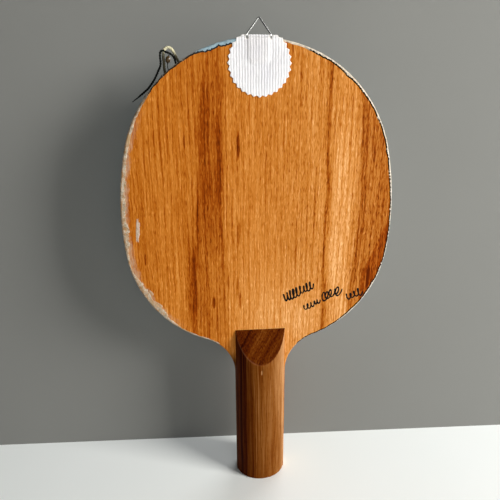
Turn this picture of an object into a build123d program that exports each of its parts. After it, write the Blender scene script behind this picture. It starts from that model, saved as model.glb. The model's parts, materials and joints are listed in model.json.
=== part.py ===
from build123d import *
import math
import os

os.makedirs("parts", exist_ok=True)

# Table tennis paddle, millimetres. +Z runs up the handle and blade, +X is the
# width, and Y is the thickness. The bare beech back faces -Y. The origin is the
# centre of the handle's end face, on the blade's mid-plane.
# Plane.XZ faces -Y, so its positive offsets and extrusions go towards the back.

# ---------------------------------------------------------------- blade
total_height = 257.0          # handle end to the top of the blade
blade_thickness = 6.0         # five plies
half_thickness = blade_thickness / 2
face_veneer = 0.7             # beech, grain along the handle
cross_veneer = 0.9            # grain across the handle
core_thickness = blade_thickness - 2 * (face_veneer + cross_veneer)
edge_round = 0.9              # sanded edge of the blade, both faces
end_margin = 1.0              # face edges centred below this height stay sharp

# Half outline as tangent arcs, clockwise from the top centre: (radius, degrees)
outline_arcs = [
    (75.3, 25.07),            # top
    (70.0, 50.91),            # shoulder
    (156.1, 20.73),           # cheek
    (63.4, 63.85),            # lower
]
neck_radius = 24.88           # hollow arc from the blade into the tongue
neck_angle = sum(degrees for _, degrees in outline_arcs) - 90.0

# ---------------------------------------------------------------- handle
handle_length = 100.0
scale_half_width = 15.3       # half axis of the handle's oval, across the blade
scale_half_depth = 12.45      # half axis of the handle's oval, through the blade
bevel_length = 18.8           # thumb bevel at the scale's upper end, along the handle
bevel_depth = scale_half_depth - half_thickness
end_ease = 0.6                # eased edge round the handle's end
bevel_ease = 0.25             # broken edge round the bevel

# ---------------------------------------------------------------- front ground
ground_thickness = 0.5
ground_inset = 1.0            # from the blade's outline
ground_gap = 0.6              # clear strip round the front scale
ground_bottom = 84.0          # the paint stops here, beside the handle

# ---------------------------------------------------------------- cloth hanger
wire_radius = 0.35            # 0.7 mm steel wire
wire_centre_x = -0.5
wire_axis_y = -3.35           # hinge line, in the fold of the cloth
wire_axis_z = 257.15
wire_half_base = 6.62         # sharp corner to centre line
wire_height = 8.45            # sharp apex above the hinge line
wire_bend = 0.6               # centre-line bend radius
wire_gap = 0.4                # between the wire's two ends, inside the fold

cloth = 0.35                  # gummed ribbed cloth
running_clearance = 0.05
fold_bore = wire_radius + running_clearance
fold_wall = 0.30
fold_half_length = 5.3

disc_centre_x, disc_centre_z = -0.1, 245.15
disc_tip_radius = 16.15       # over the pinked points
disc_root_radius = 15.2
disc_points = 32
disc_top = 257.85             # the disc is cut straight here
slit_outer = 6.5              # half distance to the outer sides of the two slits
slit_bottom = 255.65
tongue_half_width = 4.4       # the folded end of the cloth, behind the disc
tongue_bottom = 245.75
tongue_end_rise = 2.4         # height of the tongue's curved end

# ---------------------------------------------------------------- cord trim
pale_cord_radius = 0.75
dark_cord_radius = 0.45
rim_cord_radius = 0.30
thread_radius = 0.25
bead_radius = 1.35
bead_half_length = 1.6
bead_bore_radius = 0.5
bead_centre = (-45.78, 4.2, 247.75)
bead_tilt = 13.6              # degrees from upright, in the plane of the blade

# Oversized cutters: only the side that lies on the piece matters.
overcut = 1.0                 # run past a surface
ply_cut_width, ply_cut_height = 400, 700
scale_cut = 100
ground_cut_width = 80
disc_cut_width, disc_cut_height = 60, 20
fold_cut_height = 10
bead_cut = 10


# ---------------------------------------------------------------- blade plies
# Outline of the whole blade with its tongue, drawn flat: X is width, Y is height.
with BuildSketch() as blade_outline:
    with BuildLine():
        start, direction = (0, total_height), (1, 0)
        for radius, degrees in outline_arcs:
            arc = JernArc(start, direction, radius, -degrees)
            start, direction = arc @ 1, arc % 1
        neck_arc = JernArc(start, direction, neck_radius, neck_angle)
        tongue_side = Line(neck_arc @ 1, ((neck_arc @ 1).X, 0))
        Line(tongue_side @ 1, (0, 0))
        mirror(about=Plane.YZ)
    make_face()

# The pressed and sanded blade. Both face edges are rounded, but not the edge of
# the handle's end.
with BuildPart() as blade_blank:
    with BuildSketch(Plane.XZ.offset(-half_thickness)):
        add(blade_outline.sketch)
    extrude(amount=blade_thickness)
    face_edges = (
        blade_blank.faces().sort_by(Axis.Y)[0].edges()
        + blade_blank.faces().sort_by(Axis.Y)[-1].edges()
    )
    fillet([e for e in face_edges if e.center().Z > end_margin], radius=edge_round)


def cut_ply(front_offset, thickness):
    """Layer of the blank, from an offset off the mid-plane towards the back."""
    with BuildPart() as ply:
        add(blade_blank.part)
        with BuildSketch(Plane.XZ.offset(front_offset)):
            Rectangle(ply_cut_width, ply_cut_height)
        extrude(amount=thickness, mode=Mode.INTERSECT)
    return ply.part


half_core = core_thickness / 2
face_cut = face_veneer + overcut

# ---------------------------------------------------------------- handle scales
# Half of an oval bar glued to the tongue, with a flat thumb bevel running down
# from the blade's face at its upper end.
bevel_plane = Plane(
    origin=(0, -half_thickness, handle_length),
    x_dir=(1, 0, 0),
    z_dir=(0, -bevel_length, bevel_depth),
)
with BuildPart() as back_handle_scale:
    with BuildSketch(Plane.XY):
        Ellipse(scale_half_width, scale_half_depth)
        with Locations((0, scale_cut / 2 - half_thickness)):
            Rectangle(scale_cut, scale_cut, mode=Mode.SUBTRACT)
    extrude(amount=handle_length)
    split(bisect_by=bevel_plane, keep=Keep.BOTTOM)
    end_edge = (
        back_handle_scale.faces().sort_by(Axis.Z)[0].edges().sort_by(Axis.Y)[0]
    )
    fillet(end_edge, radius=end_ease)
    bevel_face = back_handle_scale.faces().filter_by(
        lambda f: f.normal_at().dot(bevel_plane.z_dir) > 0.999
    )[0]
    fillet(bevel_face.edges().sort_by(Axis.Y)[0], radius=bevel_ease)

with BuildPart() as front_handle_scale:
    mirror(back_handle_scale.part, about=Plane.XZ)

# ---------------------------------------------------------------- front ground
# Thick painted ground on the flat of the front face, cut round the handle.
with BuildPart() as front_ground:
    with BuildSketch(Plane.XZ.offset(-half_thickness - ground_thickness)):
        add(blade_outline.sketch)
        offset(amount=-ground_inset, mode=Mode.REPLACE)
        with Locations((0, (handle_length + ground_gap) / 2)):
            Rectangle(
                2 * (scale_half_width + ground_gap),
                handle_length + ground_gap,
                mode=Mode.SUBTRACT,
            )
        with Locations((0, ground_bottom / 2)):
            Rectangle(ground_cut_width, ground_bottom, mode=Mode.SUBTRACT)
    extrude(amount=ground_thickness)

# ---------------------------------------------------------------- hanger wire
# One wire bent to a triangle, its ends facing each other inside the fold.
with BuildPart() as hanger_wire:
    with BuildLine(Plane.XZ.offset(-wire_axis_y)) as wire_path:
        FilletPolyline(
            (wire_centre_x + wire_gap / 2, wire_axis_z),
            (wire_centre_x + wire_half_base, wire_axis_z),
            (wire_centre_x, wire_axis_z + wire_height),
            (wire_centre_x - wire_half_base, wire_axis_z),
            (wire_centre_x - wire_gap / 2, wire_axis_z),
            radius=wire_bend,
        )
    with BuildSketch(
        Plane(origin=wire_path.line @ 0, x_dir=(0, 1, 0), z_dir=wire_path.line % 0)
    ):
        Circle(wire_radius)
    sweep()

# ---------------------------------------------------------------- hanger cloth
# A pinked disc gummed to the back, whose slit end turns over the wire and back
# down behind the disc, where it stands as a raised tongue.
pinked_edge = []              # (x, z), points and roots in turn from the lowest point
for k in range(2 * disc_points):
    radius = disc_tip_radius if k % 2 == 0 else disc_root_radius
    angle = math.pi * k / disc_points
    pinked_edge.append(
        (disc_centre_x + radius * math.sin(angle), disc_centre_z - radius * math.cos(angle))
    )

slit_width = slit_outer - fold_half_length
slit_offset = (fold_half_length + slit_outer) / 2
tongue_x_min = wire_centre_x - tongue_half_width
tongue_x_max = wire_centre_x + tongue_half_width
tongue_side_bottom = tongue_bottom + tongue_end_rise
fold_plane = Plane(
    origin=(wire_centre_x, wire_axis_y, wire_axis_z),
    x_dir=(0, 1, 0),
    z_dir=(1, 0, 0),
)
with BuildPart() as hanger_cloth:
    # Disc, cut straight at the top, lower still over the fold, and slit beside it
    with BuildSketch(Plane.XZ.offset(half_thickness)):
        with BuildLine():
            Polyline(*pinked_edge, close=True)
        make_face()
        with Locations((disc_centre_x, disc_top + disc_cut_height / 2)):
            Rectangle(disc_cut_width, disc_cut_height, mode=Mode.SUBTRACT)
        with Locations((wire_centre_x, wire_axis_z + fold_cut_height / 2)):
            Rectangle(2 * fold_half_length, fold_cut_height, mode=Mode.SUBTRACT)
        with Locations(
            (wire_centre_x - slit_offset, slit_bottom + fold_cut_height / 2),
            (wire_centre_x + slit_offset, slit_bottom + fold_cut_height / 2),
        ):
            Rectangle(slit_width, fold_cut_height, mode=Mode.SUBTRACT)
    extrude(amount=cloth)
    # Tongue
    with BuildSketch(Plane.XZ.offset(half_thickness)):
        with BuildLine():
            Line((tongue_x_min, wire_axis_z), (tongue_x_min, tongue_side_bottom))
            ThreePointArc(
                (tongue_x_min, tongue_side_bottom),
                (wire_centre_x, tongue_bottom),
                (tongue_x_max, tongue_side_bottom),
            )
            Line((tongue_x_max, tongue_side_bottom), (tongue_x_max, wire_axis_z))
            Line((tongue_x_max, wire_axis_z), (tongue_x_min, wire_axis_z))
        make_face()
    extrude(amount=2 * cloth)
    # Fold round the wire, and its bore
    with BuildSketch(fold_plane):
        Circle(fold_bore + fold_wall)
    extrude(amount=fold_half_length, both=True)
    with BuildSketch(fold_plane):
        Circle(fold_bore)
    extrude(amount=fold_half_length + overcut, both=True, mode=Mode.SUBTRACT)

# ---------------------------------------------------------------- cords and bead
# The trim lies near the top of the blade, on the -X side, by the front face.
# Each path lists points (x, y, z) on the cord's centre line.
pale_path = [
    (-46.6, 4.27, 236.2), (-47.5, 4.27, 240.6), (-48.0, 4.27, 244.2),
    (-48.0, 4.27, 247.0), (-48.1, 4.27, 249.7), (-47.7, 4.27, 252.1),
    (-45.8, 4.27, 253.4), (-43.9, 4.27, 252.7), (-42.6, 4.27, 250.7),
    (-41.4, 4.27, 248.2), (-39.7, 4.27, 245.3), (-36.9, 4.27, 241.0),
]
dark_path = [
    (-40.4, 3.97, 236.8), (-41.3, 3.97, 241.6), (-42.1, 3.9, 246.4),
    (-42.9, 3.6, 248.7), (-44.4, 3.1, 250.2), (-46.4, 2.7, 250.9),
    (-48.0, 2.6, 251.5), (-49.2, 2.75, 251.0), (-49.6, 3.0, 249.2),
    (-49.5, 3.2, 246.9), (-49.7, 3.4, 244.9), (-50.9, 3.6, 242.5),
    (-53.2, 3.8, 238.4), (-56.5, 4.0, 234.3), (-61.4, 4.0, 230.3),
    (-65.2, 4.0, 227.6),
]
rim_path = [
    (-49.1, 3.85, 240.5), (-50.5, 3.88, 238.6), (-54.0, 3.9, 234.9),
    (-57.2, 3.9, 231.6), (-59.2, 3.9, 230.0),
]
# The fine thread passes through the bead's centre.
thread_path = [
    (-45.15, 3.75, 250.2), (-45.41, 4.2, 249.3), bead_centre,
    (-46.15, 4.2, 246.2), (-46.2, 4.0, 244.0), (-45.2, 3.8, 241.2),
    (-43.6, 3.77, 238.2),
]


def make_cord(path, cord_radius):
    """Round section carried along a smooth curve through the path's points."""
    with BuildPart() as cord:
        with BuildLine() as centre:
            Spline(*path)
        with BuildSketch(
            Plane(origin=centre.line @ 0, x_dir=(0, 1, 0), z_dir=centre.line % 0)
        ):
            Circle(cord_radius)
        sweep()
    return cord.part


# Oval bead threaded on the fine thread: the half section beyond the bore, revolved.
tilt = math.radians(bead_tilt)
bead_plane = Plane(
    origin=bead_centre,
    x_dir=(math.cos(tilt), 0, -math.sin(tilt)),
    z_dir=(0, -1, 0),
)
with BuildPart() as bead:
    with BuildSketch(bead_plane):
        Ellipse(bead_radius, bead_half_length)
        with Locations((bead_bore_radius - bead_cut / 2, 0)):
            Rectangle(bead_cut, bead_cut, mode=Mode.SUBTRACT)
    revolve(axis=Axis(bead_plane.origin, bead_plane.y_dir))

# ---------------------------------------------------------------- export
pieces = {
    "back_face_veneer": cut_ply(half_thickness - face_veneer, face_cut),
    "back_cross_veneer": cut_ply(half_core, cross_veneer),
    "core_ply": cut_ply(-half_core, core_thickness),
    "front_cross_veneer": cut_ply(-half_core - cross_veneer, cross_veneer),
    "front_face_veneer": cut_ply(-half_thickness - overcut, face_cut),
    "back_handle_scale": back_handle_scale.part,
    "front_handle_scale": front_handle_scale.part,
    "front_ground": front_ground.part,
    "hanger_cloth": hanger_cloth.part,
    "hanger_wire": hanger_wire.part,
    "cord_pale_loop": make_cord(pale_path, pale_cord_radius),
    "cord_dark_tail": make_cord(dark_path, dark_cord_radius),
    "cord_rim_strand": make_cord(rim_path, rim_cord_radius),
    "bead_thread": make_cord(thread_path, thread_radius),
    "bead": bead.part,
}
for name, piece in pieces.items():
    piece.label = name
    export_step(piece, f"parts/{name}.step")
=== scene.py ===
"""Table tennis paddle with its cloth and wire hanger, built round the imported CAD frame. Blender 4.5.

The paddle stands upright: x runs across the blade, y through its plies and z up from the handle's
end. The bare back face looks to -y, towards the camera, so left is -x. The paddle is worked in
millimetres, which make() turns into metres. The stage, lights and camera are in metres.
"""
import json
import math

import bmesh
import bpy
import numpy as np
from mathutils import Matrix, Vector
from mathutils.geometry import delaunay_2d_cdt


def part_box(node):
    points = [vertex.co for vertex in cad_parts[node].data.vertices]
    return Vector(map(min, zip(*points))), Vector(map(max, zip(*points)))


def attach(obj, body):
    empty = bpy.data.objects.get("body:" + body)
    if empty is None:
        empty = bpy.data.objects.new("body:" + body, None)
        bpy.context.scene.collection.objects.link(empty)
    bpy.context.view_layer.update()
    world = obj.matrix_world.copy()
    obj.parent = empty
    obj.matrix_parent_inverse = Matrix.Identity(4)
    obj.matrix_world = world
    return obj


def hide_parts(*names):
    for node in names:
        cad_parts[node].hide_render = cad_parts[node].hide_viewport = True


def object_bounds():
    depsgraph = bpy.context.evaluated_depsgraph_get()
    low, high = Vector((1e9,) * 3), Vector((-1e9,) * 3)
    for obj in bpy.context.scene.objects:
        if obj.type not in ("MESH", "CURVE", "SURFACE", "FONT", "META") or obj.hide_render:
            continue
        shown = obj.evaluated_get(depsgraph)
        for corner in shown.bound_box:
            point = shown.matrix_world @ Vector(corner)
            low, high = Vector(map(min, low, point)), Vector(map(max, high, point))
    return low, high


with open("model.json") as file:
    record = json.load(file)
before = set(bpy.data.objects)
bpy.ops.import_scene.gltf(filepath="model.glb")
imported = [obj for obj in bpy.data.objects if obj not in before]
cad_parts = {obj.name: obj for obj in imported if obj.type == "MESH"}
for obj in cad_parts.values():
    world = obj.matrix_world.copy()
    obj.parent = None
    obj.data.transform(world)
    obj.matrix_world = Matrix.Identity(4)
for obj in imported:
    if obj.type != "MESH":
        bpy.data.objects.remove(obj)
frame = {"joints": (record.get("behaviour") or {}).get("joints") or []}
CAD_LOW, CAD_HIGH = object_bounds()
CAD_LOW, CAD_HIGH = list(CAD_LOW), list(CAD_HIGH)
MM = 0.001


def box_mm(piece):
    """Low and high corners of a CAD piece, in mm."""
    return [np.array(corner) * 1000 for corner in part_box(piece)]


# ---------------------------------------------------------------- places read from the frame
BACK = float(box_mm("back_face_veneer")[0][1])       # y of the bare back face
FRONT = float(box_mm("front_face_veneer")[1][1])
# y of each glue line and face, from back to front
PLY_Y = [
    BACK,
    float(box_mm("back_cross_veneer")[0][1]),
    float(box_mm("core_ply")[0][1]),
    float(box_mm("core_ply")[1][1]),
    float(box_mm("front_cross_veneer")[1][1]),
    FRONT,
]
SCALE_LOW, SCALE_HIGH = box_mm("back_handle_scale")
HANDLE_TOP = float(SCALE_HIGH[2])
GROUND_LOW, GROUND_HIGH = box_mm("front_ground")
BEAD_LOW, BEAD_HIGH = box_mm("bead")
HINGE = [joint for joint in frame["joints"] if joint["name"] == "hanger_swing"][0]
HINGE_X, HINGE_Y, HINGE_Z = (1000 * value for value in HINGE["pos_m"])

BLADE_TOP = 257.0
ROUND = 0.9                                          # radius of the blade's rounded edges


# ---------------------------------------------------------------- shape helpers
def smooth(start, end, x):
    """Eased step from 0 at start to 1 at end."""
    share = np.clip((np.asarray(x, float) - start) / (end - start), 0.0, 1.0)
    return share * share * (3 - 2 * share)


def lattice(x):
    """Cell of the unit lattice that x is in, and its eased place in that cell."""
    x = np.asarray(x, float) + 1000.0
    cell = np.floor(x).astype(int)
    part = x - cell
    return cell, part * part * (3 - 2 * part)


class Noise1:
    """Smooth seeded noise in about -1..1 along one axis."""

    def __init__(self, seed):
        self.values = np.random.default_rng(seed).uniform(-1, 1, 4096)

    def __call__(self, x):
        cell, part = lattice(x)
        count = len(self.values)
        return self.values[cell % count] * (1 - part) + self.values[(cell + 1) % count] * part


class Noise2:
    """Smooth seeded noise in about -1..1 over two axes."""

    def __init__(self, seed):
        self.values = np.random.default_rng(seed).uniform(-1, 1, (256, 256))

    def __call__(self, x, y):
        (i, across), (j, up) = lattice(x), lattice(y)
        grid, count = self.values, len(self.values)
        near, far = i % count, (i + 1) % count
        low, high = j % count, (j + 1) % count
        bottom = grid[near, low] * (1 - across) + grid[far, low] * across
        top = grid[near, high] * (1 - across) + grid[far, high] * across
        return bottom * (1 - up) + top * up


def make(name, verts, faces, material, replaces=None, shading=None, attrs=None,
         body="paddle"):
    """One piece from vertices in mm. shading holds a smooth flag per face; None is all smooth."""
    mesh = bpy.data.meshes.new(name)
    verts = np.asarray(verts, float) * MM
    mesh.from_pydata(verts.tolist(), [], [tuple(int(i) for i in face) for face in faces])
    mesh.update()
    mesh.polygons.foreach_set("use_smooth", shading or [True] * len(mesh.polygons))
    for key, values in (attrs or {}).items():
        attribute = mesh.attributes.new(key, "FLOAT", "POINT")
        attribute.data.foreach_set("value", np.asarray(values, np.float32))
    edit = bmesh.new()
    edit.from_mesh(mesh)
    bmesh.ops.recalc_face_normals(edit, faces=edit.faces)
    edit.to_mesh(mesh)
    edit.free()
    piece = bpy.data.objects.new(name, mesh)
    bpy.context.scene.collection.objects.link(piece)
    mesh.materials.append(material)
    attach(piece, body)
    if replaces:
        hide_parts(replaces)


def stitch(rings, skip=None):
    """Quads between consecutive closed rings of vertex numbers; skip leaves out one column."""
    quads = []
    for ring, after in zip(rings[:-1], rings[1:]):
        for k in range(len(ring)):
            if k != skip:
                n = (k + 1) % len(ring)
                quads.append((ring[k], ring[n], after[n], after[k]))
    return quads


def path_lengths(path):
    return np.concatenate([[0], np.cumsum(np.linalg.norm(np.diff(path, axis=0), axis=1))])


def space_evenly(path, step):
    lengths = path_lengths(path)
    count = max(3, int(round(lengths[-1] / step)) + 1)
    stops = np.linspace(0, lengths[-1], count)
    return np.column_stack([np.interp(stops, lengths, path[:, k]) for k in range(path.shape[1])])


def resample(points, step):
    """Catmull-Rom curve through the points, evenly spaced."""
    p = np.asarray(points, float)
    ends = np.vstack([2 * p[0] - p[1], p, 2 * p[-1] - p[-2]])
    curve = []
    for a, b, c, d in zip(ends, ends[1:], ends[2:], ends[3:]):
        for u in np.linspace(0, 1, 24, endpoint=False):
            curve.append(0.5 * ((2 * b) + (-a + c) * u + (2 * a - 5 * b + 4 * c - d) * u * u
                                + (-a + 3 * b - 3 * c + d) * u ** 3))
    curve.append(p[-1])
    return space_evenly(np.array(curve), step)


def frames_along(path):
    """Parallel-transport frames of a 3-D polyline: tangents, normals, binormals."""
    path = np.asarray(path, float)
    tangents = np.gradient(path, axis=0)
    tangents /= np.linalg.norm(tangents, axis=1)[:, None]
    normals = np.zeros_like(path)
    start = np.array([0, 1, 0.0]) if abs(tangents[0][1]) < 0.9 else np.array([1.0, 0, 0])
    across = np.cross(tangents[0], start)
    normals[0] = across / np.linalg.norm(across)
    for i in range(1, len(path)):
        across = normals[i - 1] - tangents[i] * (normals[i - 1] @ tangents[i])
        normals[i] = across / np.linalg.norm(across)
    return tangents, normals, np.cross(tangents, normals)


def tube(path, radius, sides, base=0):
    """Capped tube round a path, numbered from base. radius is one number or one per point."""
    path = np.asarray(path, float)
    _, normals, binormals = frames_along(path)
    radius = np.broadcast_to(np.asarray(radius, float), (len(path),))
    angles = np.linspace(0, 2 * math.pi, sides, endpoint=False)
    circle = (np.cos(angles)[None, :, None] * normals[:, None, :]
              + np.sin(angles)[None, :, None] * binormals[:, None, :])
    verts = (path[:, None, :] + radius[:, None, None] * circle).reshape(-1, 3)
    rings = base + np.arange(len(verts)).reshape(-1, sides)
    return verts, stitch(rings) + [tuple(rings[0][::-1]), tuple(rings[-1])]


def triangulate(boundary, inner, tolerance):
    """Triangles over a closed boundary and inner points: vertices, triangles, source points."""
    points = [Vector(p) for p in boundary] + [Vector(p) for p in inner]
    result = delaunay_2d_cdt(points, [], [list(range(len(boundary)))], 1, tolerance)
    return np.array([tuple(v) for v in result[0]]), [tuple(f) for f in result[2]], result[3]


def rim_edges(triangles):
    """Directed edges used by one triangle only."""
    edges = {}
    for a, b, c in triangles:
        edges.update({(a, b): 1, (b, c): 1, (c, a): 1})
    return [(a, b) for a, b in edges if (b, a) not in edges]


def sheet_faces(triangles, rim, count):
    """Closed sheet: one side, the other count vertices later, and the wall between."""
    return (triangles + [tuple(i + count for i in reversed(t)) for t in triangles]
            + [(b, a, a + count, b + count) for a, b in rim])


# ---------------------------------------------------------------- blade outline
# Right half, from the top centre down: radius, degrees swept, turn (-1 bulges out, 1 hollows)
ARCS = [(75.3, 25.07, -1), (70.0, 50.91, -1), (156.1, 20.73, -1), (63.4, 63.85, -1),
        (24.88, 70.56, 1)]
TONGUE_STEPS = 60


def half_outline(inset, step=0.8):
    """Right half from the top centre to the tongue's end as (x, z), and each point's arc
    length on the outline without inset."""
    point, heading, run = np.array([0.0, BLADE_TOP]), 0.0, 0.0
    outline, arc = [], []
    for radius, degrees, turn in ARCS:
        sweep = math.radians(degrees)
        centre = point + np.array([-math.sin(heading), math.cos(heading)]) * radius * turn
        count = max(8, int(round(radius * sweep / step)))
        for k in range(count):
            angle = heading + turn * sweep * k / count
            normal = np.array([-math.sin(angle), math.cos(angle)])
            outline.append(centre - normal * (radius * turn) - normal * inset)
            arc.append(run + radius * sweep * k / count)
        heading += turn * sweep
        run += radius * sweep
        normal = np.array([-math.sin(heading), math.cos(heading)])
        point = centre - normal * radius * turn
    for k in range(TONGUE_STEPS + 1):
        z = point[1] * (1 - k / TONGUE_STEPS)
        outline.append(np.array([point[0] - inset, z]))
        arc.append(run + point[1] * k / TONGUE_STEPS)
    return np.array(outline), np.array(arc)


def loop_outline(inset, tongue_inset=None):
    """Closed outline: right side down, then left side up. tongue_inset takes over from inset
    along the tongue, inside the handle."""
    half, _ = half_outline(inset)
    if tongue_inset is not None:
        tongue, _ = half_outline(tongue_inset)
        share = smooth(66.0, 73.0, tongue[:, 1])[:, None]
        half = tongue * (1 - share) + half * share
    left = half[::-1].copy()
    left[:, 0] *= -1
    return np.vstack([half, left[:-1]])


HALF_ARC = half_outline(0.0)[1]
HALF_COUNT = len(HALF_ARC)
LOOP_COUNT = 2 * HALF_COUNT - 1
# for each loop point: 1 on the right and -1 on the left, and arc length from the top centre
LOOP_SIDE = np.concatenate([np.ones(HALF_COUNT), -np.ones(HALF_COUNT - 1)])
LOOP_ARC = np.concatenate([HALF_ARC, HALF_ARC[::-1][:-1]])


def edge_inset(depth):
    """How far the rounded blade edge stands in from the outline at a depth from a face."""
    if depth >= ROUND:
        return 0.0
    return ROUND - math.sqrt(max(0.0, ROUND ** 2 - (ROUND - depth) ** 2))


# ---------------------------------------------------------------- shader node helpers
def put(tree, socket, value):
    """Give an input a link, a colour or a number."""
    if isinstance(value, Value):
        tree.links.new(value.socket, socket)
    elif isinstance(value, tuple):
        socket.default_value = (*value, 1.0)
    else:
        socket.default_value = value


def add_node(tree, kind, inputs=None, output=0, **settings):
    """Add a node and return one output. inputs maps socket names or numbers to values."""
    node = tree.nodes.new("ShaderNode" + kind)
    for key, value in settings.items():
        setattr(node, key, value)
    for key, value in (inputs or {}).items():
        put(tree, node.inputs[key], value)
    return Value(tree, node.outputs[output])


def math_node(tree, operation, *inputs, clamp=False):
    return add_node(tree, "Math", dict(enumerate(inputs)), operation=operation, use_clamp=clamp)


class Value:
    """An output socket that takes arithmetic: each operation adds a math node."""

    def __init__(self, tree, socket):
        self.tree, self.socket = tree, socket

    def math(self, operation, *others, clamp=False):
        return math_node(self.tree, operation, self, *others, clamp=clamp)

    def __add__(self, other):
        return self.math("ADD", other)

    def __radd__(self, other):
        return math_node(self.tree, "ADD", other, self)

    def __sub__(self, other):
        return self.math("SUBTRACT", other)

    def __rsub__(self, other):
        return math_node(self.tree, "SUBTRACT", other, self)

    def __mul__(self, other):
        return self.math("MULTIPLY", other)

    def __truediv__(self, other):
        return self.math("DIVIDE", other)

    def swing(self, amount):
        """Noise about 0.5 turned into noise about 0."""
        return (self - 0.5) * amount

    def fade(self, start, end, to=(0.0, 1.0), kind="SMOOTHSTEP"):
        """Eased change between the two values of to, as this goes from start to end."""
        inputs = {"Value": self, "From Min": start, "From Max": end,
                  "To Min": to[0], "To Max": to[1]}
        return add_node(self.tree, "MapRange", inputs, "Result",
                        interpolation_type=kind, clamp=True)

    def slope(self, start, end, to=(0.0, 1.0)):
        """A fade at an even rate."""
        return self.fade(start, end, to, "LINEAR")

    def clamped(self):
        return self.math("ADD", 0.0, clamp=True)

    def bell(self):
        """e to the minus this: a bell where this is a squared distance."""
        return math_node(self.tree, "POWER", 2.718, self * -1.0)

    def spot(self):
        """1 less this, not under 0: a spot where this is a squared distance."""
        return math_node(self.tree, "SUBTRACT", 1.0, self, clamp=True)


def oval(x, z, centre, half):
    """Squared distance from centre, which is 1 on the oval with these half sizes."""
    across = (x - centre[0]) / half[0]
    along = (z - centre[1]) / half[1]
    return across * across + along * along


class Surface:
    """A principled material under construction."""

    def __init__(self, name):
        self.material = bpy.data.materials.new(name)
        self.material.use_nodes = True
        self.tree = self.material.node_tree
        self.tree.nodes.clear()
        self.output = self.tree.nodes.new("ShaderNodeOutputMaterial")
        self.shader = self.tree.nodes.new("ShaderNodeBsdfPrincipled")
        self.tree.links.new(self.shader.outputs[0], self.output.inputs[0])

    def split(self, vector, axes):
        outputs = add_node(self.tree, "SeparateXYZ", {0: vector}).socket.node.outputs
        return [Value(self.tree, outputs["xyz".index(axis)]) for axis in axes]

    def place(self, axes="xyz"):
        """Object coordinates in mm."""
        coordinates = add_node(self.tree, "TexCoord", output="Object")
        return [part * 1000.0 for part in self.split(coordinates, axes)]

    def normal(self, axis):
        return self.split(add_node(self.tree, "NewGeometry", output="Normal"), axis)[0]

    def attr(self, name):
        return add_node(self.tree, "Attribute", output="Fac", attribute_name=name)

    def vector(self, x, y, z):
        return add_node(self.tree, "CombineXYZ", {0: x, 1: y, 2: z})

    def noise(self, x, y, z, detail=2.0, rough=0.5, distortion=0.0):
        """Noise at (x, y, z); the factor on each coordinate sets how fine it is that way."""
        inputs = {"Vector": self.vector(x, y, z), "Scale": 1.0, "Detail": detail,
                  "Roughness": rough, "Distortion": distortion}
        return add_node(self.tree, "TexNoise", inputs, "Fac")

    def cells(self, x, y, z):
        inputs = {"Vector": self.vector(x, y, z), "Scale": 1.0, "Randomness": 1.0}
        return add_node(self.tree, "TexVoronoi", inputs, "Distance", feature="F1")

    def ramp(self, factor, stops, kind="LINEAR"):
        """Colour ramp through (position, colour) stops in rising order."""
        value = add_node(self.tree, "ValToRGB", {0: factor})
        ramp = value.socket.node.color_ramp
        ramp.interpolation = kind
        while len(ramp.elements) < len(stops):
            ramp.elements.new(0.5)
        for element, (position, colour) in zip(ramp.elements, stops):
            element.position = position
            element.color = (*colour, 1.0)
        return value

    def mix(self, factor, first, second, blend="MIX"):
        return add_node(self.tree, "Mix", {0: factor, 6: first, 7: second}, 2,
                        data_type="RGBA", blend_type=blend, clamp_factor=True)

    def tint(self, factor, colour, tint):
        """Colour multiplied by a tint, as far as the factor says."""
        return self.mix(factor, colour, self.mix(1.0, colour, tint, "MULTIPLY"))

    def bump(self, height, strength, distance):
        inputs = {"Strength": strength, "Distance": distance, "Height": height}
        return add_node(self.tree, "Bump", inputs)

    def finish(self, **inputs):
        """Set the shader's inputs, with _ for each space, and return the material."""
        for key, value in inputs.items():
            put(self.tree, self.shader.inputs[key.replace("_", " ")], value)
        return self.material


def lin(*display):
    """Linear colour from red, green and blue display values, 0..255."""
    def channel(c):
        return c / 12.92 if c <= 0.04045 else ((c + 0.055) / 1.055) ** 2.4
    return tuple(channel(value / 255.0) for value in display)


def paint_tongue_shade(surface, colour, x, z, amount):
    """Painted shade: darken the left side of the tongue, below the blade, where it lies in shadow."""
    return surface.mix(x.fade(-14.2, -14.7) * z.fade(88.0, 78.0) * amount, colour, lin(44, 18, 6))


# ---------------------------------------------------------------- beech
# Oiled beech from dark to light: tone, colour
BEECH = [
    (0.00, lin(88, 30, 1)), (0.16, lin(114, 44, 3)), (0.30, lin(143, 63, 6)),
    (0.50, lin(178, 102, 28)), (0.68, lin(200, 126, 52)), (0.84, lin(216, 147, 78)),
    (1.00, lin(238, 177, 112)),
]
# Broad tone across the back face: x, tone
BOARD_TONES = [
    (-76, 0.53), (-63, 0.58), (-52, 0.60), (-46, 0.60), (-41, 0.58),
    (-35, 0.57), (-17, 0.63), (-12, 0.64), (-3, 0.65), (10, 0.62),
    (20, 0.61), (27, 0.65), (34, 0.67), (40, 0.71), (46, 0.73),
    (52, 0.68), (56, 0.58), (60, 0.50), (68, 0.49), (76, 0.45),
]
BOARD_HALF, BOARD_WIDTH = 80.0, 160.0                # the x range the tones are spread over
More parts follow.
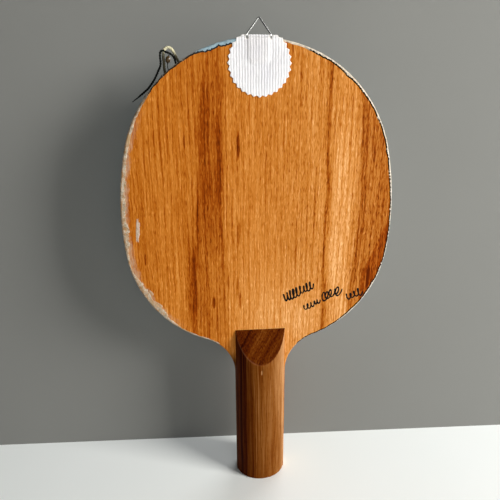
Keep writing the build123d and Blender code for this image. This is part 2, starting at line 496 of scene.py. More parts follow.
# Small scars and dashes on the back face: x, z, half width, half length, depth
SCARS = [
    (-11.8, 206.2, 1.05, 8.4, 0.44), (-39.9, 208.7, 0.55, 5.5, 0.24),
    (-63.8, 145.3, 0.65, 4.6, 0.30), (-26.4, 118.2, 1.1, 4.6, 0.36),
    (-17.7, 131.0, 0.7, 5.0, 0.20), (-11.2, 119.5, 0.7, 7.0, 0.40),
    (-12.6, 126.5, 0.9, 8.0, 0.18), (-11.8, 159.5, 1.3, 9.0, 0.22),
    (62.4, 201.8, 0.55, 6.0, 0.32), (62.9, 171.0, 0.5, 5.0, 0.16),
    (64.9, 131.0, 1.6, 8.0, 0.30), (-68.4, 217.0, 0.9, 4.5, 0.28),
    (-15.4, 168.0, 0.45, 9.0, 0.14), (48.0, 206.0, 0.4, 5.0, 0.14),
    (21.0, 150.0, 0.4, 4.5, 0.14), (-56.0, 176.0, 0.4, 5.0, 0.14),
    (-50.0, 240.0, 0.8, 4.0, 0.16),
]
SCAR_STRENGTH = 0.95
LINE_FADE = 12.0                                     # half length over which a line dies out


def board_bands(tone, grain_x, z):
    """The dark band left of the middle, its darker core, and the dark patch below it."""
    # the band's left border leans outwards going down the blade
    lean = (z.slope(242.0, 224.0, to=(0.0, -3.1)) + z.fade(224.0, 161.0, to=(0.0, -3.2))
            + z.fade(161.0, 140.0, to=(0.0, -2.3)) + z.fade(140.0, 100.0, to=(0.0, -1.0)))
    border = -29.1 + lean.math("MINIMUM", 0.0)
    upper = z.fade(138.0, 166.0)
    inside = grain_x.fade(border - 1.2, border + 1.2) * grain_x.fade(-18.4, -20.6)
    tone = tone + inside * (-0.09 + upper * -0.11 * z.fade(246.0, 215.0, to=(0.5, 1.0)))
    core = (grain_x.fade(-24.6, -23.0) * grain_x.fade(-20.0, -21.4)
            * z.fade(170.0, 182.0) * z.fade(226.0, 208.0))
    tone = tone + core * -0.12
    patch = (grain_x.fade(-42.2, -40.4) * grain_x.fade(-34.0, -37.2)
             * z.fade(176.0, 140.0) * z.fade(98.0, 118.0, to=(0.4, 1.0)))
    return tone + patch * -0.21


def board_lines(tone, grain_x, z, gain):
    """Single long grain lines and stripes of the back face."""
    streak = (36.1 + z.fade(208.0, 182.0, to=(0.0, 1.8)) + z.fade(176.0, 150.0, to=(0.0, -0.4))
              + z.fade(146.0, 122.0, to=(0.0, 0.9)))
    red = (53.6 + z.slope(240.0, 177.0, to=(0.0, 3.9)) + z.fade(177.0, 148.0, to=(0.0, -1.2))
           + z.fade(148.0, 120.0, to=(0.0, -2.2)))
    # centre x, half width, change of tone, z it starts above, z it stops at (None: no limit)
    lines = [
        (z.slope(223.0, 168.0, to=(-28.8, -30.4)), 0.50, -0.15, 166.0, 232.0),
        (z.slope(217.0, 177.0, to=(-22.0, -22.8)), 0.9, -0.08, 180.0, 216.0),
        (-20.1, 0.5, -0.03, 170.0, None),
        (z.slope(191.0, 157.0, to=(-25.9, -26.7)), 0.45, -0.13, 158.0, 192.0),
        (z.slope(180.0, 146.0, to=(-33.9, -35.0)), 0.45, -0.17, 142.0, 182.0),
        (z.slope(142.0, 100.0, to=(-37.7, -38.7)), 0.60, -0.20, None, 146.0),
        (z.slope(157.0, 99.0, to=(-20.7, -20.1)), 0.50, -0.20, None, 160.0),
        (-29.6, 0.4, -0.08, None, 160.0), (-32.3, 0.4, -0.06, None, 150.0),
        (-25.0, 0.35, -0.07, None, 150.0), (-23.2, 0.3, -0.06, None, 140.0),
        (-51.8, 0.34, -0.09, None, None), (-47.9, 0.30, -0.08, None, None),
        (-44.2, 0.45, -0.09, None, None), (-40.4, 0.34, -0.07, 150.0, None),
        (-36.4, 0.40, -0.09, 170.0, None), (-57.4, 0.36, -0.09, None, None),
        (-60.6, 0.3, -0.06, None, None), (-65.2, 0.35, -0.08, None, None),
        (-69.0, 0.3, -0.06, None, None), (-18.2, 0.35, -0.08, None, None),
        (-14.3, 0.28, -0.07, None, None), (-10.2, 0.28, -0.05, None, None),
        (-5.8, 0.32, -0.07, None, None), (-1.9, 0.28, -0.05, None, None),
        (4.6, 0.3, -0.05, None, None), (9.4, 0.28, -0.06, None, None),
        (streak + -0.2, 0.80, -0.27, None, None), (streak + 0.9, 0.8, -0.12, None, None),
        (streak, 2.2, -0.05, None, None), (red, 0.75, -0.18, None, None),
        (red + 1.9, 0.55, -0.16, None, None), (red + 0.9, 1.5, -0.06, None, None),
        (red + -3.4, 0.8, -0.08, None, 176.0), (64.6, 0.45, -0.07, None, 190.0),
        (62.6, 0.4, -0.06, None, None), (68.0, 0.5, -0.07, None, None),
        (51.0, 0.4, -0.07, None, 150.0), (45.0, 0.35, -0.05, None, None),
        (48.3, 0.35, -0.06, 170.0, None), (-27.6, 2.8, -0.07, 206.0, 240.0),
        (-31.2, 3.2, -0.08, None, 126.0), (-49.5, 5.0, 0.06, None, 126.0),
        (-64.0, 5.0, -0.06, 122.0, 158.0), (41.5, 3.4, -0.12, None, 118.0),
        (25.6, 4.5, 0.05, 205.0, None), (50.6, 2.6, 0.13, None, 130.0),
    ]
    for centre, width, change, low, high in lines:
        distance = (grain_x - centre) / width
        line = (distance * distance).bell() * change
        if low is not None:
            line = line * z.fade(low - LINE_FADE, low + LINE_FADE)
        if high is not None:
            line = line * z.fade(high + LINE_FADE, high - LINE_FADE)
        tone = tone + line * gain
    return tone


def board_tone(surface, x, z, grain_x, gain):
    """Broad tone of the back face, and the mask of its lower right corner."""
    stops = [((at + BOARD_HALF) / BOARD_WIDTH, (tone,) * 3) for at, tone in BOARD_TONES]
    tone = surface.ramp((grain_x + BOARD_HALF) / BOARD_WIDTH, stops, "EASE")
    tone = board_bands(tone, grain_x, z)
    tone = board_lines(tone, grain_x, z, gain)
    # the pale stripe right of the dark streak
    right_edge = [edge + z.fade(175.0, 215.0, to=(0.0, -4.0)) for edge in (53.0, 49.5)]
    pale = (grain_x.fade(39.0, 41.5) * grain_x.fade(*right_edge)
            * z.fade(96.0, 150.0, to=(0.1, 1.0)) * z.fade(222.0, 190.0, to=(0.0, 1.0)))
    tone = tone + pale * 0.12
    # painted light: lighter towards the handle, near the bright floor, and darker towards the hanger
    blob = oval(x, z, centre=(15.0, 108.0), half=(24.0, 22.0)).bell()
    tone = (tone + blob * 0.20 + z.fade(175.0, 125.0, to=(0.0, 0.03))
            + z.fade(180.0, 230.0, to=(0.0, -0.02)))
    # the corner is darker, with a slanting border
    slant = ((z - 134.0) * 0.40).math("MAXIMUM", 0.0)
    corner = (grain_x - slant).fade(60.2, 61.8) * z.fade(172.0, 158.0)
    return tone + corner * -0.20, corner


def add_wash(surface, colour, rough, x, z):
    """A thin wash of paint that ran in from the rim at the left."""
    edge = surface.attr("edge")
    side = surface.attr("side")
    ragged = surface.noise(x * 0.30, 4.0, z * 0.14, detail=4.0, rough=0.65)
    streaks = surface.noise(x * 1.3, 6.0, z * 0.4, detail=3.0, rough=0.6)
    reach = z.fade(102.0, 118.0) * z.fade(226.0, 200.0) * side.fade(0.2, -0.2)
    limit = ragged * 7.5 + 0.2                       # mm in from the rim
    thin = edge.fade(limit + 0.9, limit - 1.2) * reach
    thin = thin * streaks.fade(0.25, 0.62, to=(0.2, 0.8))
    paint = surface.mix(streaks, lin(168, 138, 108), lin(196, 176, 156))
    return surface.mix(thin * 0.74, colour, paint), rough + thin * 0.2


def beech(name, seed, back_face):
    surface = Surface(name)
    blade_x, blade_z = surface.place("xz")
    x, z = blade_x, blade_z
    if back_face:
        # the board's grain leans a little against the blade
        x, z = 1.774 + x * 1.00651 + z * -0.00993, -0.226 + x * 0.00721 + z * 1.00513

    def grain(along_x, across, offset, along, detail, rough):
        return surface.noise(along_x * across, seed + offset, z * along, detail, rough)

    # the whole grain wanders a little along its length
    grain_x = (x + surface.noise(x * 0.012, seed, z * 0.022).swing(1.8)
               + grain(x, 0.06, 3.0, 0.11, detail=3.0, rough=0.6).swing(1.3))
    # how much each long line breaks up along its length
    breaks = grain(x, 0.5, 6.0, 0.045, detail=3.0, rough=0.6)
    if back_face:
        gain = breaks.slope(0.28, 0.66, to=(0.55, 1.35))
        tone, corner = board_tone(surface, x, z, grain_x, gain)
    else:
        broad = surface.noise(grain_x * 0.09, seed, z * 0.003, detail=3.0, rough=0.6)
        tone = 0.66 + broad.swing(0.75)
    # long lines of grain, at three widths
    wide = grain(grain_x, 0.40, 1.0, 0.006, detail=3.0, rough=0.62)
    medium = grain(grain_x, 0.95, 2.0, 0.026, detail=3.0, rough=0.62)
    fine = grain(grain_x, 1.9, 2.5, 0.08, detail=2.0, rough=0.6)
    tone = tone + wide.swing(0.26) + medium.swing(0.56) + fine.swing(0.52)
    # slow blotches along the board
    blotches = grain(grain_x, 0.03, 5.0, 0.012, detail=2.0, rough=0.5)
    tone = tone + blotches.swing(0.14)
    # short dark ray flecks, all upright, and pale ones between them
    fleck = grain(grain_x, 1.45, 7.0, 0.21, detail=1.0, rough=0.5).fade(0.52, 0.66)
    small_fleck = grain(grain_x, 1.95, 9.0, 0.32, detail=1.0, rough=0.5).fade(0.53, 0.66)
    crowding = grain(x, 0.02, 11.0, 0.012, detail=1.0, rough=0.5)
    amount = x.fade(0.0, 38.0, to=(0.55, 0.95)) if back_face else 0.8
    pale_fleck = grain(grain_x, 1.3, 13.0, 0.30, detail=1.0, rough=0.5)
    # fine upright pin lines, about three millimetres apart and uneven
    warp = surface.noise(grain_x * 0.10, seed + 15.0, 0.0).swing(5.0)
    pins = ((grain_x + warp) * (2 * math.pi / 3.05)).math("COSINE").fade(0.55, 1.0)
    tone = tone + pins * -0.115 * breaks.fade(0.35, 0.60, to=(0.40, 1.2))
    tone = (tone + fleck * -0.21 * crowding.fade(0.3, 0.7, to=(0.6, 1.1)) * amount
            + small_fleck * -0.19 * amount + pale_fleck.fade(0.54, 0.70) * 0.14 + 0.012)
    if back_face:
        for at_x, at_z, half_width, half_length, depth in SCARS:
            scar = oval(x, z, (at_x, at_z), (half_width, half_length)).spot()
            tone = tone - scar.fade(0.0, 0.75) * (depth * SCAR_STRENGTH)
    colour = surface.ramp(tone.clamped(), BEECH)
    if back_face:
        # redder at the corner and right-hand stripes, yellower far left, pinker to the right
        redness = (corner * 0.4).math("ADD", grain_x.fade(52.5, 57.0) * 0.10, clamp=True)
        colour = surface.tint(redness, colour, (1.02, 0.88, 0.85))
        colour = surface.tint(x.fade(-22.0, -50.0), colour, (0.975, 0.92, 0.74))
        colour = surface.tint(x.fade(-18.0, 30.0), colour, (1.0, 1.06, 1.24))
        stripes = grain_x.fade(50.0, 56.0) * (1.0 - corner)
        colour = surface.tint(stripes, colour, (1.0, 1.05, 1.25))
    # painted shade on the left side of the tongue
    colour = paint_tongue_shade(surface, colour, blade_x, blade_z, amount=0.85)
    rough = 0.52 + fine.swing(0.22) + fleck * 0.10 + blotches.swing(0.12)
    if back_face:
        colour, rough = add_wash(surface, colour, rough, x, z)
    height = medium * 0.5 + fine * 0.6 + fleck * -0.8 + small_fleck * -0.5
    return surface.finish(
        Base_Color=colour, Roughness=rough, Specular_IOR_Level=0.02,
        Normal=surface.bump(height, strength=0.5, distance=0.00006))


# ---------------------------------------------------------------- other woods
def edge_wood(name, base, dark, end_grain, seed):
    """Ply edge. End grain shows fine pores in short flecks; long grain runs along the rim."""
    surface = Surface(name)
    x, y, z = surface.place()
    run = (z - 170.0).math("ARCTAN2", x) * 80.0      # mm round the rim, about the blade's middle
    if end_grain:
        fibre = surface.noise(run * 2.6, y * 2.2, seed, detail=3.0, rough=0.6)
        pores = surface.cells(run * 3.2, y * 3.2, seed)
        tone = fibre * 0.7 + pores.fade(0.05, 0.35) * 0.4
    else:
        fibre = surface.noise(run * 0.28, y * 4.5, z * 0.05, detail=4.0, rough=0.6)
        fine = surface.noise(run * 1.4, y * 7.0, seed)
        tone = fibre * 0.7 + fine * 0.4
    tone = tone + surface.noise(run * 0.05, seed, z * 0.05).swing(0.5)
    pale = tuple(min(1.0, c * 1.3) for c in base)
    colour = surface.ramp(tone, [(0.25, dark), (0.62, base), (0.95, pale)])
    # the ply edge takes the same painted shade on the tongue's left side
    return surface.finish(
        Base_Color=paint_tongue_shade(surface, colour, x, z, amount=0.88),
        Roughness=0.58 + fibre.swing(0.25), Specular_IOR_Level=0.3,
        Normal=surface.bump(tone, strength=0.5, distance=0.00008))


def walnut(name, seed):
    surface = Surface(name)
    x, y, z = surface.place()
    depth = y.math("ABSOLUTE")
    wander = surface.noise(x * 0.05, y * 0.05 + seed, z * 0.020).swing(2.6)
    # growth layers lie oblique to the blade, with the trunk's axis along the handle
    layer = x * 0.60 + depth * -1.0 * -0.80 + wander
    grain_x = x + wander
    rings = surface.noise(layer * 0.42, seed, z * 0.004, rough=0.55)
    fine_rings = surface.noise(layer * 1.25, seed + 2.0, z * 0.008, detail=3.0, rough=0.6)
    lines = surface.noise(grain_x * 1.5, y * 1.5 + seed, z * 0.022, detail=3.0, rough=0.6)
    pore = surface.noise(x * 3.4, y * 3.4, z * 0.16).fade(0.60, 0.72)
    broad = surface.noise(layer * 0.13, seed + 4.0, z * 0.006, detail=1.0)
    # the bevel faces up: it is darker and takes less of the dark-to-pale change across x. That change
    # is painted shade on the left side, away from the key light, and painted light on the right side,
    # towards it.
    bevel = surface.normal("z").fade(0.12, 0.40)
    across = (x.fade(-13.0, -1.0, to=(-0.37, 0.0)) * (1.0 - bevel * 0.7)
              + x.fade(2.0, 13.0, to=(0.0, 0.34)) * (1.0 - bevel))
    tone = (0.50 + across + broad.swing(0.45) + rings.swing(0.62) + fine_rings.swing(0.62)
            + lines.swing(0.75) + pore * -0.24)
    tone = tone - bevel * 0.24
    # a pale spot just under the tip of the bevel
    pale_spot = oval(x, z, centre=(-0.1, 76.4), half=(0.45, 1.7)).spot()
    pale_spot = pale_spot.fade(0.0, 0.6) * depth.fade(11.5, 12.0)
    tone = tone + surface.noise(x * 0.2, y * 0.2, z * 0.5).swing(0.06)
    colour = surface.ramp(tone.clamped(), [
        (0.0, lin(40, 6, 0)), (0.18, lin(72, 24, 2)), (0.38, lin(99, 46, 6)),
        (0.55, lin(121, 71, 25)), (0.75, lin(148, 100, 56)), (1.0, lin(190, 142, 96))])
    colour = surface.mix(pale_spot * 0.5, colour, lin(196, 150, 100))
    # painted highlight along the bevel's border, most at the left
    bevel_border_highlight = surface.attr("ridge") * x.fade(-1.0, -5.0, to=(0.06, 0.30))
    colour = surface.mix(bevel_border_highlight, colour, lin(160, 104, 70))
    return surface.finish(
        Base_Color=colour, Roughness=0.42 + pore * 0.2 + lines.swing(0.15),
        Normal=surface.bump(lines * 0.5 + pore * -1.0, strength=0.55, distance=0.00008),
        Specular_IOR_Level=0.01)


def bead_wood(name):
    surface = Surface(name)
    x, y, z = surface.place()
    rings = surface.noise(x * 1.6, y * 1.6, z * 0.35, detail=4.0, rough=0.65, distortion=0.6)
    pores = surface.noise(x * 7.0, y * 7.0, z * 1.4)
    tone = rings * 0.9 + pores * 0.25 + -0.08
    stops = [(0.25, lin(30, 20, 4)), (0.5, lin(70, 50, 16)), (0.75, lin(124, 94, 44))]
    return surface.finish(
        Base_Color=surface.ramp(tone, stops), Roughness=0.28 + pores * 0.15,
        Normal=surface.bump(pores, strength=0.3, distance=0.00004),
        Coat_Weight=0.35, Coat_Roughness=0.15)


# ---------------------------------------------------------------- paints and ink
def rim_paint(name):
    """Dried paint on the rim: pale blue at the upper left, warm grey down the left, off-white
    at the right, broken by dark strokes, with painted shadow along its inner edge at the upper left."""
    surface = Surface(name)
    x, y, z = surface.place()
    inward = surface.attr("run")                     # mm from the skin's ragged back boundary
    arc = surface.attr("sarc")
    side = surface.attr("side")
    broad = surface.noise(x * 0.10, y * 0.20, z * 0.10, detail=4.0, rough=0.6)
    mottle = surface.noise(x * 0.65, y * 0.8, z * 0.65, detail=4.0, rough=0.65)
    ticks = surface.noise(arc * 1.3, inward * 0.25, side * 3.0, detail=3.0, rough=0.6)
    left = side.fade(0.2, -0.2)
    blue = surface.mix(mottle, lin(112, 138, 150), lin(166, 188, 196))
    streaks = surface.noise(x * 1.5, y * 1.2, z * 0.5, detail=4.0, rough=0.7)
    grey = surface.mix(mottle.fade(0.32, 0.66), lin(134, 112, 82), lin(206, 194, 174))
    cool = surface.mix(mottle, lin(150, 134, 110), lin(176, 170, 158))
    grey = surface.mix(broad.fade(0.50, 0.60) * 0.7, grey, cool)
    # where the paint has run thin over the face, the wood's colour comes through in streaks
    bare = streaks.fade(0.44, 0.60) * inward.fade(3.2, 0.8, to=(0.85, 0.5))
    grey = surface.mix(bare, grey, lin(182, 124, 68))
    grey = surface.mix(streaks.fade(0.40, 0.34) * 0.5, grey, lin(116, 78, 46))
    warm = surface.mix(mottle.fade(0.3, 0.7), lin(170, 158, 138), lin(226, 214, 196))
    top_left = left * arc.fade(38.0, 30.0)
    colour = surface.mix(left, warm, grey)
    colour = surface.mix(top_left, colour, blue)
    # ochre and sea-green touches
    colour = surface.mix(broad.fade(0.60, 0.66) * 0.6, colour, lin(176, 140, 92))
    colour = surface.mix(ticks.fade(0.66, 0.72) * 0.5 * left, colour, lin(92, 120, 122))
    # a broken dark line of paint along the back boundary, at the right and the upper left
    right = side.fade(-0.2, 0.2)
    breaks = surface.noise(arc * 0.16, 2.0, side, detail=3.0, rough=0.7)
    nibbles = surface.noise(arc * 0.9, 5.0, side, rough=0.6)
    reach = nibbles.slope(0.35, 0.65, to=(0.45, 0.95))
    dash = ((breaks + nibbles.swing(0.35)).fade(0.36, 0.43)
            * (inward - reach).fade(0.12, -0.08))
    where = (right * arc.fade(22.0, 28.0)).math("MAXIMUM", left * arc.fade(80.0, 60.0) * 0.95)
    # at the upper left the line runs unbroken along the paint's inner edge: painted shadow
    dash = dash.math("MAXIMUM", inward.fade(0.55, 0.40) * left * arc.fade(44.0, 38.0))
    stroke_and_shadow_colour = surface.mix(mottle, lin(10, 6, 2), lin(30, 20, 8))
    return surface.finish(
        Base_Color=surface.mix(dash * where, colour, stroke_and_shadow_colour),
        Roughness=0.5 + mottle.swing(0.3),
        Normal=surface.bump(mottle * 0.8 + ticks * 0.6, strength=0.6, distance=0.00012),
        Specular_IOR_Level=(1.0 - dash * where) * 0.12)


def daub_paint(name, dark, pale):
    surface = Surface(name)
    x, y, z = surface.place()
    mottle = surface.noise(x * 1.2, y, z * 0.5, detail=4.0, rough=0.65)
    broad = surface.noise(x * 0.35, y, z * 0.2)
    colour = surface.mix(mottle.fade(0.3, 0.7), dark, pale)
    colour = surface.mix(broad.fade(0.5, 0.7) * 0.4, colour, lin(176, 120, 76))
    return surface.finish(
        Base_Color=colour, Roughness=0.55 + mottle * 0.15, Specular_IOR_Level=0.35,
        Normal=surface.bump(mottle, strength=0.6, distance=0.0001))


def ground_paint(name):
    """Brushed ground on the front: pale blue-grey over white, in crossing strokes."""
    surface = Surface(name)
    x, z = surface.place("xz")
    warp = surface.noise(x * 0.02, 0.0, z * 0.02).swing(34.0)
    stroke_z = z + warp + x * 0.12
    strokes = surface.noise(x * 0.035, 1.0, stroke_z * 0.9, detail=4.0, rough=0.62)
    hairs = surface.noise(x * 0.05, 4.0, stroke_z * 3.4, detail=3.0, rough=0.6)
    broad = surface.noise(x * 0.018, 7.0, z * 0.03, detail=3.0, rough=0.55)
    tone = strokes * 0.5 + hairs * 0.25 + broad * 0.5 + -0.12
    colour = surface.ramp(tone, [
        (0.2, lin(128, 156, 172)), (0.42, lin(164, 188, 199)),
        (0.6, lin(198, 212, 216)), (0.85, lin(232, 233, 226))])
    colour = surface.mix(hairs.fade(0.66, 0.74) * 0.35, colour, lin(205, 190, 160))
    return surface.finish(
        Base_Color=colour, Roughness=0.52 + hairs.swing(0.3), Specular_IOR_Level=0.35,
        Normal=surface.bump(strokes + hairs * 0.6, strength=0.5, distance=0.0002))


def ink(name):
    surface = Surface(name)
    x, y, z = surface.place()
    mottle = surface.noise(x * 2.2, y, z * 1.2, detail=3.0, rough=0.6)
    fading = surface.noise(x * 1.9, 7.0, z * 0.3)
    colour = surface.mix(mottle.fade(0.35, 0.75), lin(8, 6, 6), lin(26, 18, 15))
    colour = surface.mix(fading.fade(0.62, 0.72) * 0.3, colour, lin(70, 40, 20))
    return surface.finish(
        Base_Color=colour, Roughness=0.4 + mottle * 0.2, Specular_IOR_Level=0.08,
        Normal=surface.bump(mottle, strength=0.3, distance=0.00003))


# ---------------------------------------------------------------- cloth, steel and cord
def gummed_cloth(name):
    surface = Surface(name)
    x, y, z = surface.place()
    # threads every 0.31 mm across and 0.42 mm up
    weave = ((x * (2 * math.pi / 0.31)).math("SINE")
             * (z * (2 * math.pi / 0.42)).math("SINE"))
    fuzz = surface.noise(x * 1.4, y, z * 0.35, detail=3.0, rough=0.6)
    broad = surface.noise(x * 0.16, y, z * 0.12, detail=3.0)
    yarn = surface.noise(x * 2.2, y, z * 0.08)
    colour = surface.mix(fuzz.fade(0.3, 0.7), lin(222, 221, 223), lin(239, 237, 238))
    colour = surface.mix(broad.fade(0.45, 0.75) * 0.25, colour, lin(226, 226, 238))
    colour = surface.mix(yarn.fade(0.56, 0.70) * 0.22, colour, lin(206, 206, 214))
    # greyer over the folded end under the cloth, and painted shade along a crease down from the upper
    # left
    grey = surface.mix(fuzz, lin(204, 200, 200), lin(222, 218, 218))
    colour = surface.mix(surface.attr("under") * 0.50, colour, grey)
    # painted shade in the grooves between the ribs, most in the middle of the disc
    middle = oval(x, z, centre=(-0.1, 247.15), half=(12.5, 15.0)).bell()
    groove_shade = (surface.attr("rib").fade(0.75, 0.0) * broad.fade(0.38, 0.62, to=(0.60, 1.0))
               * middle.fade(0.2, 0.75, to=(0.38, 0.88)))
    colour = surface.mix(groove_shade, colour, lin(186, 182, 186))
    colour = surface.mix(surface.attr("rimness") * 0.45, colour, lin(246, 236, 220))
    height = weave * 0.35 + fuzz * 0.6 + yarn * 0.4
    return surface.finish(
        Base_Color=colour, Roughness=0.86, Specular_IOR_Level=0.2,
        Normal=surface.bump(height, strength=0.4, distance=0.00006),
        Sheen_Weight=0.08, Sheen_Roughness=0.5)


def steel(name):
    surface = Surface(name)
    [z] = surface.place("z")
    run = surface.attr("run")
    turn = surface.attr("turn")
    drawn = surface.noise(run * 0.5, turn * 9.0, 0.0, detail=4.0, rough=0.6)
    stains = surface.noise(run * 1.7, turn * 1.2, 3.0, detail=3.0, rough=0.6)
    colour = surface.mix(stains.fade(0.35, 0.7), lin(214, 214, 212), lin(246, 246, 245))
    colour = surface.mix(stains.fade(0.62, 0.72) * 0.6, colour, lin(112, 104, 94))
    # painted shade: sides that don't face right, away from the key light, are dark and dull, above the
    # cloth most of all
    wire_side_shade = (surface.normal("x") + stains.swing(0.2)).fade(0.30, 0.10)
    wire_side_shade = wire_side_shade * z.fade(257.5, 258.7, to=(0.25, 1.0))
    return surface.finish(
        Base_Color=surface.mix(wire_side_shade * 0.97, colour, lin(12, 12, 13)),
        Metallic=wire_side_shade.fade(0.0, 1.0, to=(1.0, 0.6)),
        Roughness=0.20 + drawn * 0.14 + wire_side_shade * 0.2,
        Normal=surface.bump(drawn, strength=0.25, distance=0.00003))


def cord(name, dark, pale, patches, rough, legs_dark_and_shaded=None):
    """Twisted yarn: fine fibres run along each strand, from its own length and turn."""
    surface = Surface(name)
    run, turn, strand = (surface.attr(key) for key in ("run", "turn", "strand"))
    fibre = surface.noise(run * 0.9, turn * 5.0, strand * 7.0, detail=4.0, rough=0.65)
    patch = surface.noise(run * 0.25, turn * 0.4, strand * 3.0, detail=3.0)
    colour = surface.mix(fibre.fade(0.3, 0.72), dark, pale)
    colour = surface.mix(patch.fade(0.5, 0.68) * 0.55, colour, patches)
    if legs_dark_and_shaded:
        # the legs below the arch are darkened: painted shade, with the colour of the dark threads
        # mixed into them
        [z] = surface.place("z")
        colour = surface.mix(z.fade(252.5, 249.0, to=(0.0, 0.94)), colour, legs_dark_and_shaded)
    return surface.finish(
        Base_Color=colour, Roughness=rough + fibre.swing(0.2), Specular_IOR_Level=0.12,
        Normal=surface.bump(fibre, strength=0.7, distance=0.00005))


M_BACK = beech("beech_back_face", seed=0.0, back_face=True)
M_BEECH = beech("beech_plain", seed=21.0, back_face=False)
M_CROSS = edge_wood("cross_veneer_edge", base=lin(176, 128, 84), dark=lin(118, 74, 42),
                    end_grain=True, seed=2.0)
M_CORE = edge_wood("core_ply_edge", base=lin(222, 186, 138), dark=lin(176, 132, 88),
                   end_grain=False, seed=5.0)
M_WALNUT_BACK = walnut("walnut_back", seed=3.0)
M_WALNUT_FRONT = walnut("walnut_front", seed=17.0)
M_RIM = rim_paint("rim_paint")
M_DAUB = daub_paint("dried_daub", dark=lin(166, 138, 112), pale=lin(206, 186, 168))
M_DAUB_TAN = daub_paint("dried_daub_tan", dark=lin(158, 122, 84), pale=lin(196, 164, 130))
M_GROUND = ground_paint("front_ground_paint")
M_CLOTH = gummed_cloth("ribbed_gummed_cloth")
M_WIRE = steel("drawn_steel_wire")
M_PALE = cord("pale_cotton", dark=lin(196, 184, 140), pale=lin(250, 246, 220),
              patches=lin(196, 186, 130), rough=0.8, legs_dark_and_shaded=lin(34, 30, 16))
M_DARK = cord("dark_waxed_cord", dark=lin(2, 3, 2), pale=lin(11, 14, 9),
              patches=lin(12, 32, 14), rough=0.7)
M_BEAD = bead_wood("bead_wood")
M_INK = ink("generic_ink")


# ---------------------------------------------------------------- blade plies
FACE_INSETS = [2.0, 3.0, 4.0, 5.0, 6.0, 8.0]         # extra rings on an outer face, near its edge
ROUND_DEPTHS = [0.0, 0.012, 0.035, 0.075, 0.13, 0.20, 0.29, 0.39, 0.50, 0.60]
GROOVE = 0.045                                       # depth of the groove at each glue line
GROOVE_MID = 0.025                                   # y from the glue line, part way out
GROOVE_END = 0.06                                    # y from the glue line where it ends


def profile(low, high, outer):
    """(y, inset) levels of a ply between two y places, with half a groove at each glue line.
    outer says which of its faces, if any, is the blade's own."""
    levels = []
    if outer == "back":
        levels += [(BACK + depth, edge_inset(depth)) for depth in ROUND_DEPTHS]
    else:
        depth = low - BACK
        inset = edge_inset(depth)
        levels += [(low, inset + GROOVE), (low + GROOVE_MID, inset + GROOVE * 0.35),
                   (low + GROOVE_END, edge_inset(depth + GROOVE_END))]
    if outer is None:
        count = max(2, int((high - low) / 0.35))
        for k in range(1, count):
            y = low + GROOVE_END + (high - low - 2 * GROOVE_END) * k / count
            levels.append((y, edge_inset(min(y - BACK, FRONT - y))))
    if outer == "front":
        levels += [(FRONT - depth, edge_inset(depth)) for depth in ROUND_DEPTHS[::-1]]
    else:
        before = edge_inset(min(high - GROOVE_END - BACK, FRONT - high + GROOVE_END))
        inset = edge_inset(min(high - BACK, FRONT - high))
        levels += [(high - GROOVE_END, before), (high - GROOVE_MID, inset + GROOVE * 0.35),
                   (high, inset + GROOVE)]
    return levels


def ply(name, low, high, material, node, outer=None):
    verts, faces, shading, edge = [], [], [], []
    right_corner, left_corner = HALF_COUNT - 1, HALF_COUNT       # of the tongue's end

    def add_ring(y, inset):
        outline = loop_outline(inset, min(inset, 0.10 + max(0.0, inset - ROUND)))
        first = LOOP_COUNT * len(verts)
        verts.append(np.column_stack([outline[:, 0], np.full(LOOP_COUNT, y), outline[:, 1]]))
        edge.append(np.full(LOOP_COUNT, inset))
        return np.arange(first, first + LOOP_COUNT)

    def close_face(ring, y, is_outer, corner, other_corner):
        """Fill one face of the ply; returns its points along the tongue's end."""
        rings = [ring] + [add_ring(y, inset) for inset in FACE_INSETS if is_outer]
        flat = stitch(rings, skip=right_corner) + [tuple(rings[-1])]
        faces.extend(flat)
        shading.extend([False] * len(flat))
        return [r[corner] for r in rings[1:]] + [r[other_corner] for r in rings[:0:-1]]

    levels = profile(low, high, outer)
    wall = [add_ring(y, inset) for y, inset in levels]
    faces += stitch(wall, skip=right_corner)
    shading += [True] * len(faces)
    end = [ring[right_corner] for ring in wall]
    end += close_face(wall[-1], levels[-1][0], outer == "front", right_corner, left_corner)
    end += [ring[left_corner] for ring in wall[::-1]]
    end += close_face(wall[0], levels[0][0], outer == "back", left_corner, right_corner)
    faces.append(tuple(end))
    shading.append(False)
    count = len(verts)
    make(name, np.vstack(verts), faces, material, node, shading,
         {"edge": np.concatenate(edge), "sarc": np.tile(LOOP_ARC, count),
          "side": np.tile(LOOP_SIDE, count)})


# name, material, slot, CAD piece, which face is the blade's own; from back to front
PLIES = [
    ("back_face_beech", M_BACK, "beech_face", "back_face_veneer", "back"),
    ("back_cross_ply", M_CROSS, "cross_veneer", "back_cross_veneer", None),
    ("core_ply_wood", M_CORE, "core_wood", "core_ply", None),
    ("front_cross_ply", M_CROSS, "cross_veneer", "front_cross_veneer", None),
    ("front_face_beech", M_BEECH, "beech_face", "front_face_veneer", "front"),
]
for low, high, (name, material, slot, node, outer) in zip(PLY_Y, PLY_Y[1:], PLIES):
    ply(name, low, high, material, node, outer)


# ---------------------------------------------------------------- handle scales
# half axes of the handle's oval, through the plies and across
OVAL_Y = float(-SCALE_LOW[1])
OVAL_X = float(SCALE_HIGH[0]) / math.sqrt(1 - (BACK / OVAL_Y) ** 2)
BEVEL_LENGTH = 18.8
BEVEL_DEPTH = OVAL_Y - abs(BACK)
END_ROUND = 0.6                                      # quarter round at the handle's end
SCALE_COLUMNS = 120


def min_smooth(first, second, width):
    share = np.clip(0.5 + 0.5 * (second - first) / width, 0, 1)
    return second * (1 - share) + first * share - width * share * (1 - share)


